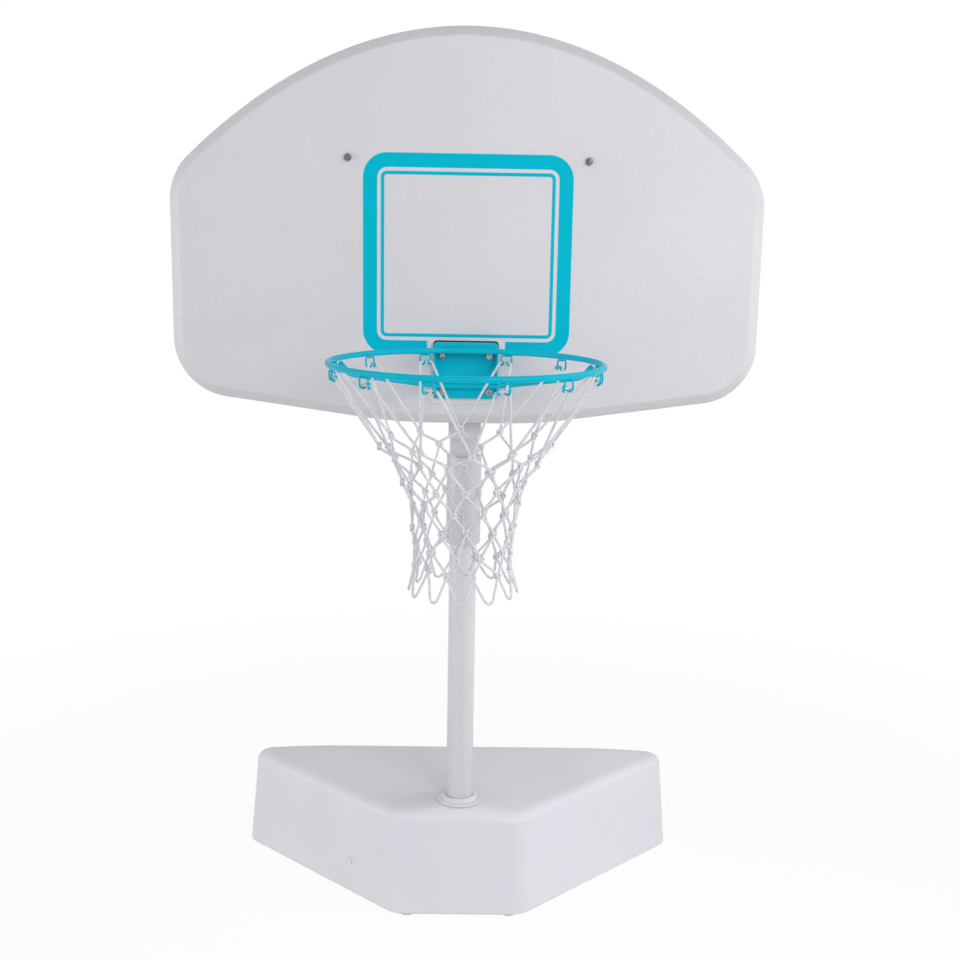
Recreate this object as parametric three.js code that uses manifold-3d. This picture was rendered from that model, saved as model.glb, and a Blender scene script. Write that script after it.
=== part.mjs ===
// Poolside basketball hoop: a water-filled tank, a telescopic pole with a
// clamp, a moulded arched backboard, and a welded rim with a corded net.
// Lengths are millimetres, +Z is up, +Y points away from the player.
// The pieces are laid out from the pole's axis, then the whole is centred
// over the middle of its footprint.
import * as THREE from 'three';
import { mergeVertices } from 'three/addons/utils/BufferGeometryUtils.js';
import Module from 'manifold-3d';

const wasm = await Module();
wasm.setup();

// Clearances shared by all pieces
const fit = {
  gap: 0.3, // between faces that touch on the real thing
  screwGap: 0.6, // round a bolt's shank in its hole
  overrun: 5, // how far a cutter runs past what it cuts
};

// Finishes
const paint = {
  white: new THREE.MeshStandardMaterial({ color: 0xe4e2e6, roughness: 0.5, metalness: 0 }),
  gloss: new THREE.MeshStandardMaterial({ color: 0xe9e9ee, roughness: 0.25, metalness: 0 }),
  teal: new THREE.MeshStandardMaterial({ color: 0x0fb5cb, roughness: 0.35, metalness: 0.1 }),
  grey: new THREE.MeshStandardMaterial({ color: 0xb9bcc2, roughness: 0.45, metalness: 0.4 }),
  steel: new THREE.MeshStandardMaterial({ color: 0xc9c6c0, roughness: 0.3, metalness: 1 }),
  dark: new THREE.MeshStandardMaterial({ color: 0x2b2c2e, roughness: 0.7, metalness: 0 }),
  cord: new THREE.MeshStandardMaterial({ color: 0xf2f1f0, roughness: 0.8, metalness: 0 }),
};

// Moulded tank that holds the water ballast
const tank = {
  height: 229, // flat deck above the floor
  floorGap: 3.6, // the tank stands on its feet
  frontReach: 82, // pole axis to the front wall, at the bottom
  backReach: 312,
  frontHalf: 134, // half width of the front wall, at its sharp corners
  backHalf: 484,
  slant: 43, // degrees from the front wall's line to each slanted wall
  draft: 5, // degrees that every wall leans in
  edgeRadius: 24, // round the deck
  footRound: 6, // bevel round the underside
  frontCorner: 62, // corner radii in plan
  sideCorner: 32,
  cornerSteps: 4,
  edgeSteps: 4,
  hipRise: 5, // the deck's raised wedge behind the pole
  hipHalf: 300,
  hipFront: 62, // where the wedge starts, behind the pole's axis
  socketFloor: 20, // under the pole
};
const foot = {
  radius: 15.5,
  height: 9,
  frontSideInset: 27, // from the ends of the front wall
  frontInset: 20,
  backSideInset: 82,
  backInset: 42,
  sides: 20,
};
const drain = { radius: 5, headRadius: 7.5, head: 2.4, stem: 12, height: 73, along_share: 0.295, sides: 14 };

// Telescopic pole
const pole = {
  outer: 55.4, // lower tube
  wall: 1.6,
  lift: 24, // lower tube's end above the floor
  overlap: 246, // length of lower tube inside the upper one
  slide: 0.3, // running clearance between the tubes
  upperWall: 1.3,
  sides: 28,
  plugStem: 26,
  plugHead: 3,
  plugWall: 3,
};
const collar = { outer: 97, boss: 76, flange: 4.5, height: 11, sides: 28 };

// Clamp sleeve round the foot of the upper tube
const sleeve = {
  outer: 70,
  height: 179,
  bottom: 790,
  lip: 3,
  slotWidth: 2.6,
  slotHeight: 12.6,
  slotLift: 13,
  sides: 28,
};
const clamp = {
  lift: 46, // screw axis above the sleeve's lower end
  screw: 10,
  pitch: 2,
  turns: 3,
  padRadius: 6.6,
  padLength: 5,
  padClear: 0.5,
  bossRadius: 15,
  bossReach: 20, // past the sleeve's wall
  knobRadius: 24,
  knobDepth: 18,
  knobHub: 11,
  hubDepth: 8,
  lobes: 6,
  lobeSteps: 8,
  lobeDepth: 3.2,
  stand: 3, // between the boss and the knob
  sides: 14,
};

// Backboard, a twin-sheet moulding
const board = {
  width: 1120,
  faceReach: 87.5, // pole axis to the playing face
  bottom: 1044.5,
  apex: 1781.5,
  thick: 34,
  crownRadius: 595, // at the top of the arch
  crownSteep_share: 0.04,
  crownSpan_share: 0.9,
  crownSteps: 14,
  flatHalf: 135, // half length of the level bottom edge
  sideRise: 59, // from the bottom to the lower corners
  upperRadius: 100,
  lowerRadius: 110,
  cornerSteps: 5,
  bevelWidth: 17,
  bevelDepth: 9,
  bevelWidth_shares: [0, 0.12, 0.8, 1], // the bevel's rounding, from its rim to the face
  bevelDepth_shares: [1.25, 0.7, 0.1, 0],
  skin: 4,
  backSkin: 3.5,
  padHalf: 71, // raised pad under the rim bracket
  padTop: 7,
  padBottom: 11.5,
  padRise: 3,
  padBevel: 2.4,
  padRadius: 10,
  bossWall: 4,
  boltSpan: 449, // the two upper bolts
  boltLevel: 1542,
  ribWidth: 16,
  ribRise: 5,
  ribClear: 30, // between the cross bar's end and the nearer rib
  ribInset: 74, // from the board's side
  ribMargin: 24, // from the levels where the board's sides end
  ribRadius: 30,
  holeSides: 10,
};

// Rim
const ring = {
  radius: 234, // to the middle of the rod
  rod: 10.5,
  level: 1190, // above the floor
  wallGap: 38, // playing face to the middle of the rod
  steps: 60,
  rodSides: 8,
};
const bracket = {
  width: 122,
  height: 108.5,
  aboveRing: 14,
  sheet: 3.5,
  corner: 9,
  lip: 18,
  taperStart: 5, // below the lip
  taperEnd: 72, // below the bracket's top
  boltSpan: 89.5,
  boltPitch: 69.6,
  boltDrop: 26, // below the bracket's top
  gasket: 1.5,
  gasketEdge: 0.8,
};
const brace = {
  rod: 10.5,
  drop: 69.4, // below the ring, in front of the bracket
  flatHalf: 57,
  endAngle: 109, // round the ring from the front
  kneeAngle: 122,
  kneeOut: 2, // past the ring's radius
  kneeDrop: 27,
  bend: 14, // from a corner to where the rod runs straight
  sides: 8,
  steps: 46,
};
const hook = {
  wire: 3.4,
  half: 10, // between the middle and each leg
  drop: 11.7, // leg length
  curl: 5.5,
  tip: 3,
  lean: 35, // degrees that each curl turns to the middle
  count: 12,
  curlSteps: 4,
  firstAngle: 14.2,
  stepAngle: 29.36,
  sides: 5,
  steps: 18,
};

// Net, a tube of knotted diamonds
const net = {
  cord: 3.8,
  knotHalf: 3.1,
  knotTall: 3.7,
  rowDrops: [137, 165, 202, 240, 281, 318.5, 354], // rows of knots below the ring
  rowRadii: [149, 125, 105.5, 96, 88, 85, 85.5],
  loopDrop: 412,
  loopRadius: 96,
  loopHalf: 6,
  loopBend: 12,
  bend_shares: [-1, -0.5, 0.5, 1], // where a hung cord bends, along half its span
  loopSlope_shares: [-2, -0.6, 0.6, 2], // how steeply a loop's cord runs at each bend
};

// Frame behind the backboard
const channel = {
  sheet: 2.4,
  depth: 44, // of its flanges
  top: 1574,
  bottom: 1007,
  boltLevel_shares: [0.47, 0.88],
};
const crossBar = { endReach: 25.5, height: 30, sheet: 2 }; // endReach runs past each bolt
const backPlate = { width: 122, height: 112, sheet: 3.5 };
const mastCap = { rise: 6, stem: 16, edge: 2.5 };

// Fasteners
const rimBolt = { shank: 8, head: 13, headDepth: 4.5, nut: 13, nutDepth: 6.5, stick: 4, sides: 10 };
const boardBolt = { shank: 8, head: 13, headDepth: 5.3, nut: 13, nutDepth: 6.5, stick: 4, sides: 10 };
const poleBolt = { shank: 8, head: 13, headDepth: 5.3, nut: 13, nutDepth: 6.5, stick: 4, sides: 10 };

// Filler cap on the tank's rear wall
const filler = {
  level: 142,
  x: 190,
  bossRadius: 34,
  bossReach: 12, // past the wall at that level
  capRadius: 27,
  capDepth: 14,
  grip: 2,
  grips: 10,
  gripSteps: 4,
  stemRadius: 19,
  stemHold: 4, // stem left in the boss when the cap is fully unscrewed
  pitch: 4,
  turns: 3,
  washerRadius: 25,
  washer: 2.4,
  sides: 22,
};

const V2 = (x, y) => new THREE.Vector2(x, y);
const V3 = (x, y, z) => new THREE.Vector3(x, y, z);
const half = (value) => value / 2;
const hexagon = 6;
const rad = THREE.MathUtils.degToRad;

// Places that several pieces share
const upperTube = {
  inner: half(pole.outer) + pole.slide,
  outer: half(pole.outer) + pole.slide + pole.upperWall,
  bottom: sleeve.bottom + sleeve.lip + fit.gap,
};
const face = -board.faceReach;
const boardBack = face + board.thick;
const padFront = face - board.padRise;
const gasketFront = padFront - fit.gap - bracket.gasket;
const plateBack = gasketFront - fit.gap;
const plateFront = plateBack - bracket.sheet;
const rodAtWall = face - ring.wallGap;
const bracketFront = rodAtWall + half(ring.rod) + fit.gap;
const ringCentre = rodAtWall - ring.radius;
const bracketTop = ring.level + bracket.aboveRing;
const bracketBottom = bracketTop - bracket.height;
const rimBoltLevels = [bracketTop - bracket.boltDrop, bracketTop - bracket.boltDrop - bracket.boltPitch];
const rimBoltPlaces = [-1, 1].flatMap((side) =>
  rimBoltLevels.map((level) => ({ x: side * half(bracket.boltSpan), z: level })));
const boardBoltPlaces = [-1, 1].map((side) => ({ x: side * half(board.boltSpan), z: board.boltLevel }));
const barHalf = half(board.boltSpan) + crossBar.endReach;
const channelFront = -(upperTube.outer + fit.gap + channel.sheet);
const channelSide = upperTube.outer + fit.gap + channel.sheet;

// A closed geometry as a solid for cutting and joining
function toSolid(geometry) {
  const bare = geometry.clone();
  bare.deleteAttribute('normal');
  bare.deleteAttribute('uv');
  const merged = mergeVertices(bare, 1e-4);
  return new wasm.Manifold(new wasm.Mesh({
    numProp: 3,
    vertProperties: new Float32Array(merged.attributes.position.array),
    triVerts: new Uint32Array(merged.index.array),
  }));
}

function toGeometry(solid) {
  const mesh = solid.getMesh();
  const geometry = new THREE.BufferGeometry();
  geometry.setAttribute('position', new THREE.BufferAttribute(new Float32Array(mesh.vertProperties), 3));
  geometry.setIndex(new THREE.BufferAttribute(new Uint32Array(mesh.triVerts), 1));
  return geometry;
}

// Joins the first list of closed geometries and cuts the second from it
function shaped(added, removed = []) {
  const body = added.map(toSolid).reduce((whole, piece) => whole.add(piece));
  return toGeometry(removed.map(toSolid).reduce((whole, piece) => whole.subtract(piece), body));
}

// Flat outline in X and Z, as thick as depth from y towards the front
function frontPlate(outline, y, depth, holes = []) {
  const shape = new THREE.Shape(outline);
  shape.holes = holes.map((hole) => new THREE.Path(hole));
  const geometry = new THREE.ExtrudeGeometry(shape, { depth, bevelEnabled: false, steps: 1 });
  return geometry.rotateX(Math.PI / 2).translate(0, y, 0);
}

// Flat outline in Y and Z, drawn out along X and centred on it
function sidePlate(outline, length, holes = []) {
  const shape = new THREE.Shape(outline);
  shape.holes = holes.map((hole) => new THREE.Path(hole));
  const geometry = new THREE.ExtrudeGeometry(shape, { depth: length, bevelEnabled: false, steps: 1 });
  const turn = new THREE.Matrix4().makeBasis(V3(0, 1, 0), V3(0, 0, 1), V3(1, 0, 0));
  return geometry.translate(0, 0, -half(length)).applyMatrix4(turn);
}

// Cylinder along Y between two places
function rodY(radius, from, to, x, z, sides) {
  const geometry = new THREE.CylinderGeometry(radius, radius, Math.abs(to - from), sides);
  return geometry.translate(x, half(from + to), z);
}

function rodZ(radius, from, to, x, y, sides) {
  const geometry = new THREE.CylinderGeometry(radius, radius, Math.abs(to - from), sides);
  return geometry.rotateX(Math.PI / 2).translate(x, y, half(from + to));
}

function rodX(radius, from, to, y, z, sides) {
  const geometry = new THREE.CylinderGeometry(radius, radius, Math.abs(to - from), sides);
  return geometry.rotateZ(Math.PI / 2).translate(half(from + to), y, z);
}

// Body turned about a standing axis from [radius, height] pairs
function turned(profile, sides) {
  const points = profile.map(([r, h]) => V2(r, h));
  return new THREE.LatheGeometry(points, sides).rotateX(Math.PI / 2);
}

function pipe(inner, outer, bottom, top, sides) {
  return turned([[inner, bottom], [outer, bottom], [outer, top], [inner, top], [inner, bottom]], sides);
}

function box(x0, x1, y0, y1, z0, z1) {
  const geometry = new THREE.BoxGeometry(x1 - x0, y1 - y0, z1 - z0);
  return geometry.translate(half(x0 + x1), half(y0 + y1), half(z0 + z1));
}

// Polygon with each corner rounded by its own radius
function roundedOutline(corners, steps) {
  const points = [];
  corners.forEach(({ x, y, r }, i) => {
    const corner = V2(x, y);
    if (!r) {
      points.push(corner);
      return;
    }
    const before = corners[(i + corners.length - 1) % corners.length];
    const after = corners[(i + 1) % corners.length];
    const u = V2(before.x - x, before.y - y).normalize();
    const v = V2(after.x - x, after.y - y).normalize();
    const angle = Math.acos(THREE.MathUtils.clamp(u.dot(v), -1, 1));
    const bisector = u.clone().add(v).normalize();
    const centre = corner.clone().addScaledVector(bisector, r / Math.sin(half(angle)));
    const start = corner.clone().addScaledVector(u, r / Math.tan(half(angle))).sub(centre);
    const end = corner.clone().addScaledVector(v, r / Math.tan(half(angle))).sub(centre);
    const sweep = Math.atan2(start.cross(end), start.dot(end));
    for (let k = 0; k <= steps; k += 1) {
      points.push(start.clone().rotateAround(V2(0, 0), sweep * k / steps).add(centre));
    }
  });
  return points;
}

function rectangle(x0, x1, y0, y1, r, steps) {
  const places = [[x0, y0], [x1, y0], [x1, y1], [x0, y1]];
  return roundedOutline(places.map(([x, y]) => ({ x, y, r })), steps);
}

// Outline moved inwards by the same distance all round
function inset(outline, distance) {
  return outline.map((point, i) => {
    const before = outline[(i + outline.length - 1) % outline.length];
    const after = outline[(i + 1) % outline.length];
    const a = point.clone().sub(before).normalize();
    const b = after.clone().sub(point).normalize();
    const normal = V2(-a.y - b.y, a.x + b.x).normalize();
    const mitre = normal.x * -a.y + normal.y * a.x;
    return point.clone().addScaledVector(normal, distance / mitre);
  });
}

// Closed body through rings of as many points, capped at both ends
function loft(rings) {
  const count = rings[0].length;
  const position = rings.flat().flatMap((p) => [p.x, p.y, p.z]);
  const index = [];
  for (let level = 0; level + 1 < rings.length; level += 1) {
    for (let i = 0; i < count; i += 1) {
      const a = level * count + i;
      const b = level * count + (i + 1) % count;
      index.push(a, b, b + count, a, b + count, a + count);
    }
  }
  const last = (rings.length - 1) * count;
  for (let i = 1; i + 1 < count; i += 1) {
    index.push(0, i + 1, i, last, last + i, last + i + 1);
  }
  const geometry = new THREE.BufferGeometry();
  geometry.setAttribute('position', new THREE.Float32BufferAttribute(position, 3));
  geometry.setIndex(index);
  return geometry;
}

// Straight runs joined by bends that start and end at a distance from each corner
function bentPath(corners, bend) {
  const path = new THREE.CurvePath();
  let from = corners[0];
  for (let i = 1; i + 1 < corners.length; i += 1) {
    const near = corners[i].clone().lerp(corners[i - 1], bend / corners[i].distanceTo(corners[i - 1]));
    const far = corners[i].clone().lerp(corners[i + 1], bend / corners[i].distanceTo(corners[i + 1]));
    path.add(new THREE.LineCurve3(from, near));
    path.add(new THREE.QuadraticBezierCurve3(near, corners[i], far));
    from = far;
  }
  path.add(new THREE.LineCurve3(from, corners[corners.length - 1]));
  return path;
}

// Round rod along a curve
function rodAlong(curve, radius, sides, steps) {
  const section = new THREE.Shape();
  for (let i = 0; i < sides; i += 1) {
    const angle = 2 * Math.PI * i / sides;
    const method = i ? 'lineTo' : 'moveTo';
    section[method](radius * Math.cos(angle), radius * Math.sin(angle));
  }
  section.closePath();
  return new THREE.ExtrudeGeometry(section, { steps, extrudePath: curve, bevelEnabled: false });
}

// Hexagon or round head, shank and all, as one bolt along Y, head to the front
function boltY(size, headBack, tip, x, z, headSides) {
  const corner = headSides === hexagon ? Math.cos(Math.PI / hexagon) : 1;
  const head = rodY(half(size.head) / corner, headBack - size.headDepth, headBack, x, z, headSides);
  return shaped([head, rodY(half(size.shank), headBack - half(size.headDepth), tip, x, z, size.sides)]);
}

function boltTip(size, nutStart) {
  return nutStart + size.nutDepth + size.stick;
}

function nutY(size, start, x, z) {
  const corner = half(size.nut) / Math.cos(Math.PI / hexagon);
  const nut = rodY(corner, start, start + size.nutDepth, x, z, hexagon);
  const bore = rodY(half(size.shank) + fit.gap, start - fit.overrun, start + size.nutDepth + fit.overrun,
    x, z, size.sides);
  return shaped([nut], [bore]);
}

// Where a point stands round the ring: angle 0 is the front, 90 is +X
function roundRing(angle, radius, level) {
  return V3(radius * Math.sin(rad(angle)), ringCentre - radius * Math.cos(rad(angle)), level);
}

const hoop = new THREE.Group();
function add(name, geometry, material) {
  const mesh = new THREE.Mesh(geometry, material);
  mesh.name = name;
  hoop.add(mesh);
}

// Half width of the front wall when every wall is moved in by distance
function noseHalf(distance) {
  return tank.frontHalf - distance * Math.tan(half(rad(tank.slant)));
}

// Tank's outline in plan, moved in by distance
function tankPlan(distance) {
  const front = -tank.frontReach + distance;
  const back = tank.backReach - distance;
  const side = tank.backHalf - distance;
  const nose = noseHalf(distance);
  const shoulder = front + (side - nose) * Math.tan(rad(tank.slant));
  const cornerTangents = 1 + Math.tan(half(rad(90 - tank.slant)));
  const sideRadius = Math.min(tank.sideCorner, (back - shoulder) / cornerTangents);
  return roundedOutline([
    { x: -nose, y: front, r: tank.frontCorner },
    { x: nose, y: front, r: tank.frontCorner },
    { x: side, y: shoulder, r: sideRadius },
    { x: side, y: back, r: sideRadius },
    { x: -side, y: back, r: sideRadius },
    { x: -side, y: shoulder, r: sideRadius },
  ], tank.cornerSteps);
}

function tankLean(level) {
  return (level - tank.floorGap - tank.footRound) * Math.tan(rad(tank.draft));
}

// Low three-sided wedge that stiffens the deck behind the pole
function deckHip() {
  const back = tank.backReach - tankLean(tank.height) - tank.edgeRadius;
  const sunk = tank.height - tank.edgeRadius;
  const plan = [V2(-tank.hipHalf, back), V2(0, tank.hipFront), V2(tank.hipHalf, back)];
  const ring0 = plan.map((p) => V3(p.x, p.y, sunk));
  const ring1 = plan.map((p) => V3(p.x, p.y, tank.height));
  const peak = V3(0, back - fit.overrun, tank.height + tank.hipRise);
  const position = [...ring0, ...ring1, peak].flatMap((p) => [p.x, p.y, p.z]);
  const geometry = new THREE.BufferGeometry();
  geometry.setAttribute('position', new THREE.Float32BufferAttribute(position, 3));
  geometry.setIndex([0, 2, 1, 0, 1, 4, 0, 4, 3, 1, 2, 5, 1, 5, 4, 2, 0, 3, 2, 3, 5, 3, 4, 6, 4, 5, 6, 5, 3, 6]);
  return geometry;
}

function fillerFace() {
  return tank.backReach - tankLean(filler.level) + filler.bossReach;
}

function fillerStem() {
  return filler.pitch * filler.turns + filler.stemHold;
}

function buildTank() {
  const shoulder = tank.height - tank.edgeRadius;
  const levels = [[tank.footRound, tank.floorGap], [0, tank.floorGap + tank.footRound]];
  for (let i = 0; i <= tank.edgeSteps; i += 1) {
    const turn = half(Math.PI) * i / tank.edgeSteps;
    const inward = tankLean(shoulder) + tank.edgeRadius * (1 - Math.cos(turn));
    levels.push([inward, shoulder + tank.edgeRadius * Math.sin(turn)]);
  }
  const rings = levels.map(([distance, level]) => tankPlan(distance).map((p) => V3(p.x, p.y, level)));
  const socket = rodZ(half(pole.outer) + fit.gap, tank.socketFloor, tank.height + fit.overrun, 0, 0, pole.sides);
  const boss = rodY(filler.bossRadius, fillerFace() - filler.bossRadius, fillerFace(),
    filler.x, filler.level, filler.sides);
  const well = rodY(filler.stemRadius + fit.screwGap, fillerFace() - fillerStem() - fit.screwGap,
    fillerFace() + fit.overrun, filler.x, filler.level, filler.sides);
  const feet = footPlaces().map(({ x, y }) =>
    rodZ(foot.radius + fit.gap, 0, foot.height + fit.gap, x, y, foot.sides));
  add('base_tank', shaped([loft(rings), deckHip(), boss], [socket, well, ...feet, drainBore()]), paint.white);
}

function footPlaces() {
  const front = { x: tank.frontHalf - foot.frontSideInset, y: -tank.frontReach + foot.frontInset };
  const back = { x: tank.backHalf - foot.backSideInset, y: tank.backReach - foot.backInset };
  return [
    { name: 'foot_front_left', x: -front.x, y: front.y },
    { name: 'foot_front_right', x: front.x, y: front.y },
    { name: 'foot_rear_left', x: -back.x, y: back.y },
    { name: 'foot_rear_right', x: back.x, y: back.y },
  ];
}

function buildFeet() {
  footPlaces().forEach(({ name, x, y }) => {
    add(name, rodZ(foot.radius, 0, foot.height, x, y, foot.sides), paint.dark);
  });
}

// Places a piece drawn along +Y square to the front-left wall at its drain
function onDrainWall(geometry) {
  const inward = tankLean(drain.height);
  const nose = noseHalf(inward);
  const reach = (tank.backHalf - inward - nose) * drain.along_share;
  const across = rad(tank.slant);
  return geometry.rotateX(rad(tank.draft)).rotateZ(Math.PI - across)
    .translate(-nose - reach, -tank.frontReach + inward + reach * Math.tan(across), drain.height);
}

function drainBore() {
  return onDrainWall(rodY(drain.radius + fit.gap, -drain.stem - fit.gap, fit.overrun, 0, 0, drain.sides));
}

function buildDrain() {
  const head = rodY(drain.headRadius, fit.gap, drain.head + fit.gap, 0, 0, drain.sides);
  const stem = rodY(drain.radius, -drain.stem, half(drain.head), 0, 0, drain.sides);
  add('drain_plug', shaped([onDrainWall(head), onDrainWall(stem)]), paint.white);
}

function buildFiller() {
  const start = fillerFace() + fit.gap;
  const washer = shaped(
    [rodY(filler.washerRadius, start, start + filler.washer, filler.x, filler.level, filler.sides)],
    [rodY(filler.stemRadius + fit.gap, start - fit.overrun, start + filler.washer + fit.overrun,
      filler.x, filler.level, filler.sides)],
  );
  add('filler_washer', washer, paint.dark);
  const capStart = start + filler.washer + fit.gap;
  const outline = [];
  const points = filler.grips * filler.gripSteps;
  for (let i = 0; i < points; i += 1) {
    const angle = 2 * Math.PI * i / points;
    const reach = filler.capRadius - (i % filler.gripSteps < half(filler.gripSteps) ? filler.grip : 0);
    outline.push(V2(filler.x + reach * Math.cos(angle), filler.level + reach * Math.sin(angle)));
  }
  const cap = frontPlate(outline, capStart + filler.capDepth, filler.capDepth);
  const stem = rodY(filler.stemRadius, fillerFace() - fillerStem(), capStart + half(filler.capDepth),
    filler.x, filler.level, filler.sides);
  add('filler_cap', shaped([cap, stem]), paint.white);
}

function buildLowerPole() {
  const outer = half(pole.outer);
  const top = upperTube.bottom + pole.overlap;
  add('lower_pole', pipe(outer - pole.wall, outer, pole.lift, top, pole.sides), paint.grey);
  const stemRadius = outer - pole.wall - fit.gap;
  const seat = tank.socketFloor + fit.gap;
  add('lower_pole_plug', turned([
    [0, seat], [outer, seat], [outer, pole.lift - fit.gap], [stemRadius, pole.lift - fit.gap],
    [stemRadius, pole.lift + pole.plugStem], [0, pole.lift + pole.plugStem],
  ], pole.sides), paint.dark);
  const lid = top + fit.gap;
  add('guide_bush', turned([
    [stemRadius - pole.plugWall, top - pole.plugStem], [stemRadius, top - pole.plugStem], [stemRadius, lid],
    [outer, lid], [outer, lid + pole.plugHead], [stemRadius - pole.plugWall, lid + pole.plugHead],
    [stemRadius - pole.plugWall, top - pole.plugStem],
  ], pole.sides), paint.dark);
  const deck = tank.height + fit.gap;
  const inner = outer + fit.gap;
  const brim = half(collar.outer);
  const boss = half(collar.boss);
  add('pole_collar', turned([
    [inner, deck], [brim, deck], [brim, deck + half(collar.flange)],
    [brim - half(collar.flange), deck + collar.flange],
    [boss, deck + collar.flange], [boss - half(collar.flange), deck + collar.height - half(collar.flange)],
    [boss - collar.flange, deck + collar.height], [inner, deck + collar.height], [inner, deck],
  ], collar.sides), paint.gloss);
}

function clampAxis() {
  return sleeve.bottom + clamp.lift;
}

function buildUpperPole() {
  const level = clampAxis();
  const tube = pipe(upperTube.inner, upperTube.outer, upperTube.bottom, channel.top, pole.sides);
  const padHole = rodY(clamp.padRadius + clamp.padClear, upperTube.inner - fit.overrun,
    upperTube.outer + fit.overrun, 0, level, clamp.sides);
  add('upper_pole', shaped([tube], [padHole, ...mastBoltHoles()]), paint.grey);
  const capBottom = channel.top + fit.gap;
  const stemRadius = upperTube.inner - fit.gap;
  add('mast_cap', turned([
    [0, capBottom - mastCap.stem], [stemRadius, capBottom - mastCap.stem], [stemRadius, capBottom],
    [upperTube.outer, capBottom], [upperTube.outer, capBottom + mastCap.rise - mastCap.edge],
    [upperTube.outer - mastCap.edge, capBottom + mastCap.rise], [0, capBottom + mastCap.rise],
  ], pole.sides), paint.dark);
}

function buildSleeve() {
  const outer = half(sleeve.outer);
  const inner = upperTube.outer + fit.gap;
  const throat = half(pole.outer) + pole.slide;
  const shelf = sleeve.bottom + sleeve.lip;
  const body = turned([
    [throat, sleeve.bottom], [outer, sleeve.bottom], [outer, sleeve.bottom + sleeve.height],
    [inner, sleeve.bottom + sleeve.height], [inner, shelf], [throat, shelf], [throat, sleeve.bottom],
  ], sleeve.sides);
  const level = clampAxis();
  const bossEnd = outer + clamp.bossReach;
  const boss = rodY(clamp.bossRadius, half(inner + outer), bossEnd, 0, level, clamp.sides);
  const travel = clamp.pitch * clamp.turns;
  const bore = rodY(half(clamp.screw) + fit.gap, inner, bossEnd + fit.overrun, 0, level, clamp.sides);
  const padBore = rodY(clamp.padRadius + clamp.padClear, upperTube.inner,
    padEnd() + travel + clamp.padClear, 0, level, clamp.sides);
  const slot = box(-half(sleeve.slotWidth), half(sleeve.slotWidth), -outer - fit.overrun, -inner + fit.overrun,
    sleeve.bottom + sleeve.slotLift, sleeve.bottom + sleeve.slotLift + sleeve.slotHeight);
  add('clamp_sleeve', shaped([body, boss], [bore, padBore, slot]), paint.white);
}

function padEnd() {
  return half(pole.outer) + fit.gap + clamp.padLength;
}

function buildClamp() {
  const level = clampAxis();
  const padStart = padEnd() - clamp.padLength;
  add('clamp_pad', rodY(clamp.padRadius, padStart, padEnd(), 0, level, clamp.sides), paint.dark);
  const bossEnd = half(sleeve.outer) + clamp.bossReach;
  const hubStart = bossEnd + clamp.stand;
  const knobStart = hubStart + clamp.hubDepth;
  const knobEnd = knobStart + clamp.knobDepth;
  const screwEnd = half(knobStart + knobEnd);
  add('clamp_screw', rodY(half(clamp.screw), padEnd() + fit.gap, screwEnd, 0, level, clamp.sides), paint.steel);
  const outline = [];
  const points = clamp.lobes * clamp.lobeSteps;
  for (let i = 0; i < points; i += 1) {
    const angle = 2 * Math.PI * i / points;
    const reach = clamp.knobRadius - half(clamp.lobeDepth) * (1 - Math.cos(angle * clamp.lobes));
    outline.push(V2(reach * Math.cos(angle), level + reach * Math.sin(angle)));
  }
  const knob = frontPlate(outline, knobEnd, clamp.knobDepth);
  const hub = rodY(clamp.knobHub, hubStart, half(knobStart + knobEnd), 0, level, clamp.sides);
  const bore = rodY(half(clamp.screw) + fit.gap, hubStart - fit.overrun, screwEnd + fit.gap, 0, level, clamp.sides);
  add('clamp_knob', shaped([knob, hub], [bore]), paint.dark);
}

// Height of the board's arched top edge at a distance from the middle
function crown(x) {
  const share = x / half(board.width);
  return board.apex - x * x / (2 * board.crownRadius) * (1 + board.crownSteep_share * share * share);
}

function boardOutline() {
  const side = half(board.width);
  const roomForCorner = half(crown(side) - board.bottom - board.sideRise);
  const lowerRadius = Math.min(board.lowerRadius, roomForCorner);
  const upperRadius = Math.min(board.upperRadius, roomForCorner);
  const corners = [
    { x: -board.flatHalf, y: board.bottom },
    { x: board.flatHalf, y: board.bottom },
    { x: side, y: board.bottom + board.sideRise, r: lowerRadius },
    { x: side, y: crown(side), r: upperRadius },
  ];
  const reach = side * board.crownSpan_share;
  for (let i = board.crownSteps; i >= 0; i -= 1) {
    const x = reach * (2 * i / board.crownSteps - 1);
    corners.push({ x, y: crown(x) });
  }
  corners.push({ x: -side, y: crown(side), r: upperRadius });
  corners.push({ x: -side, y: board.bottom + board.sideRise, r: lowerRadius });
  return roundedOutline(corners, board.cornerSteps);
}

function boardHoles(radius, from, to) {
  return [...rimBoltPlaces, ...boardBoltPlaces].map(({ x, z }) => rodY(radius, from, to, x, z, board.holeSides));
}

function padOutline(grow) {
  return rectangle(-board.padHalf - grow, board.padHalf + grow, bracketBottom - board.padBottom - grow,
    bracketTop + board.padTop + grow, board.padRadius, board.cornerSteps);
}

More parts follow.
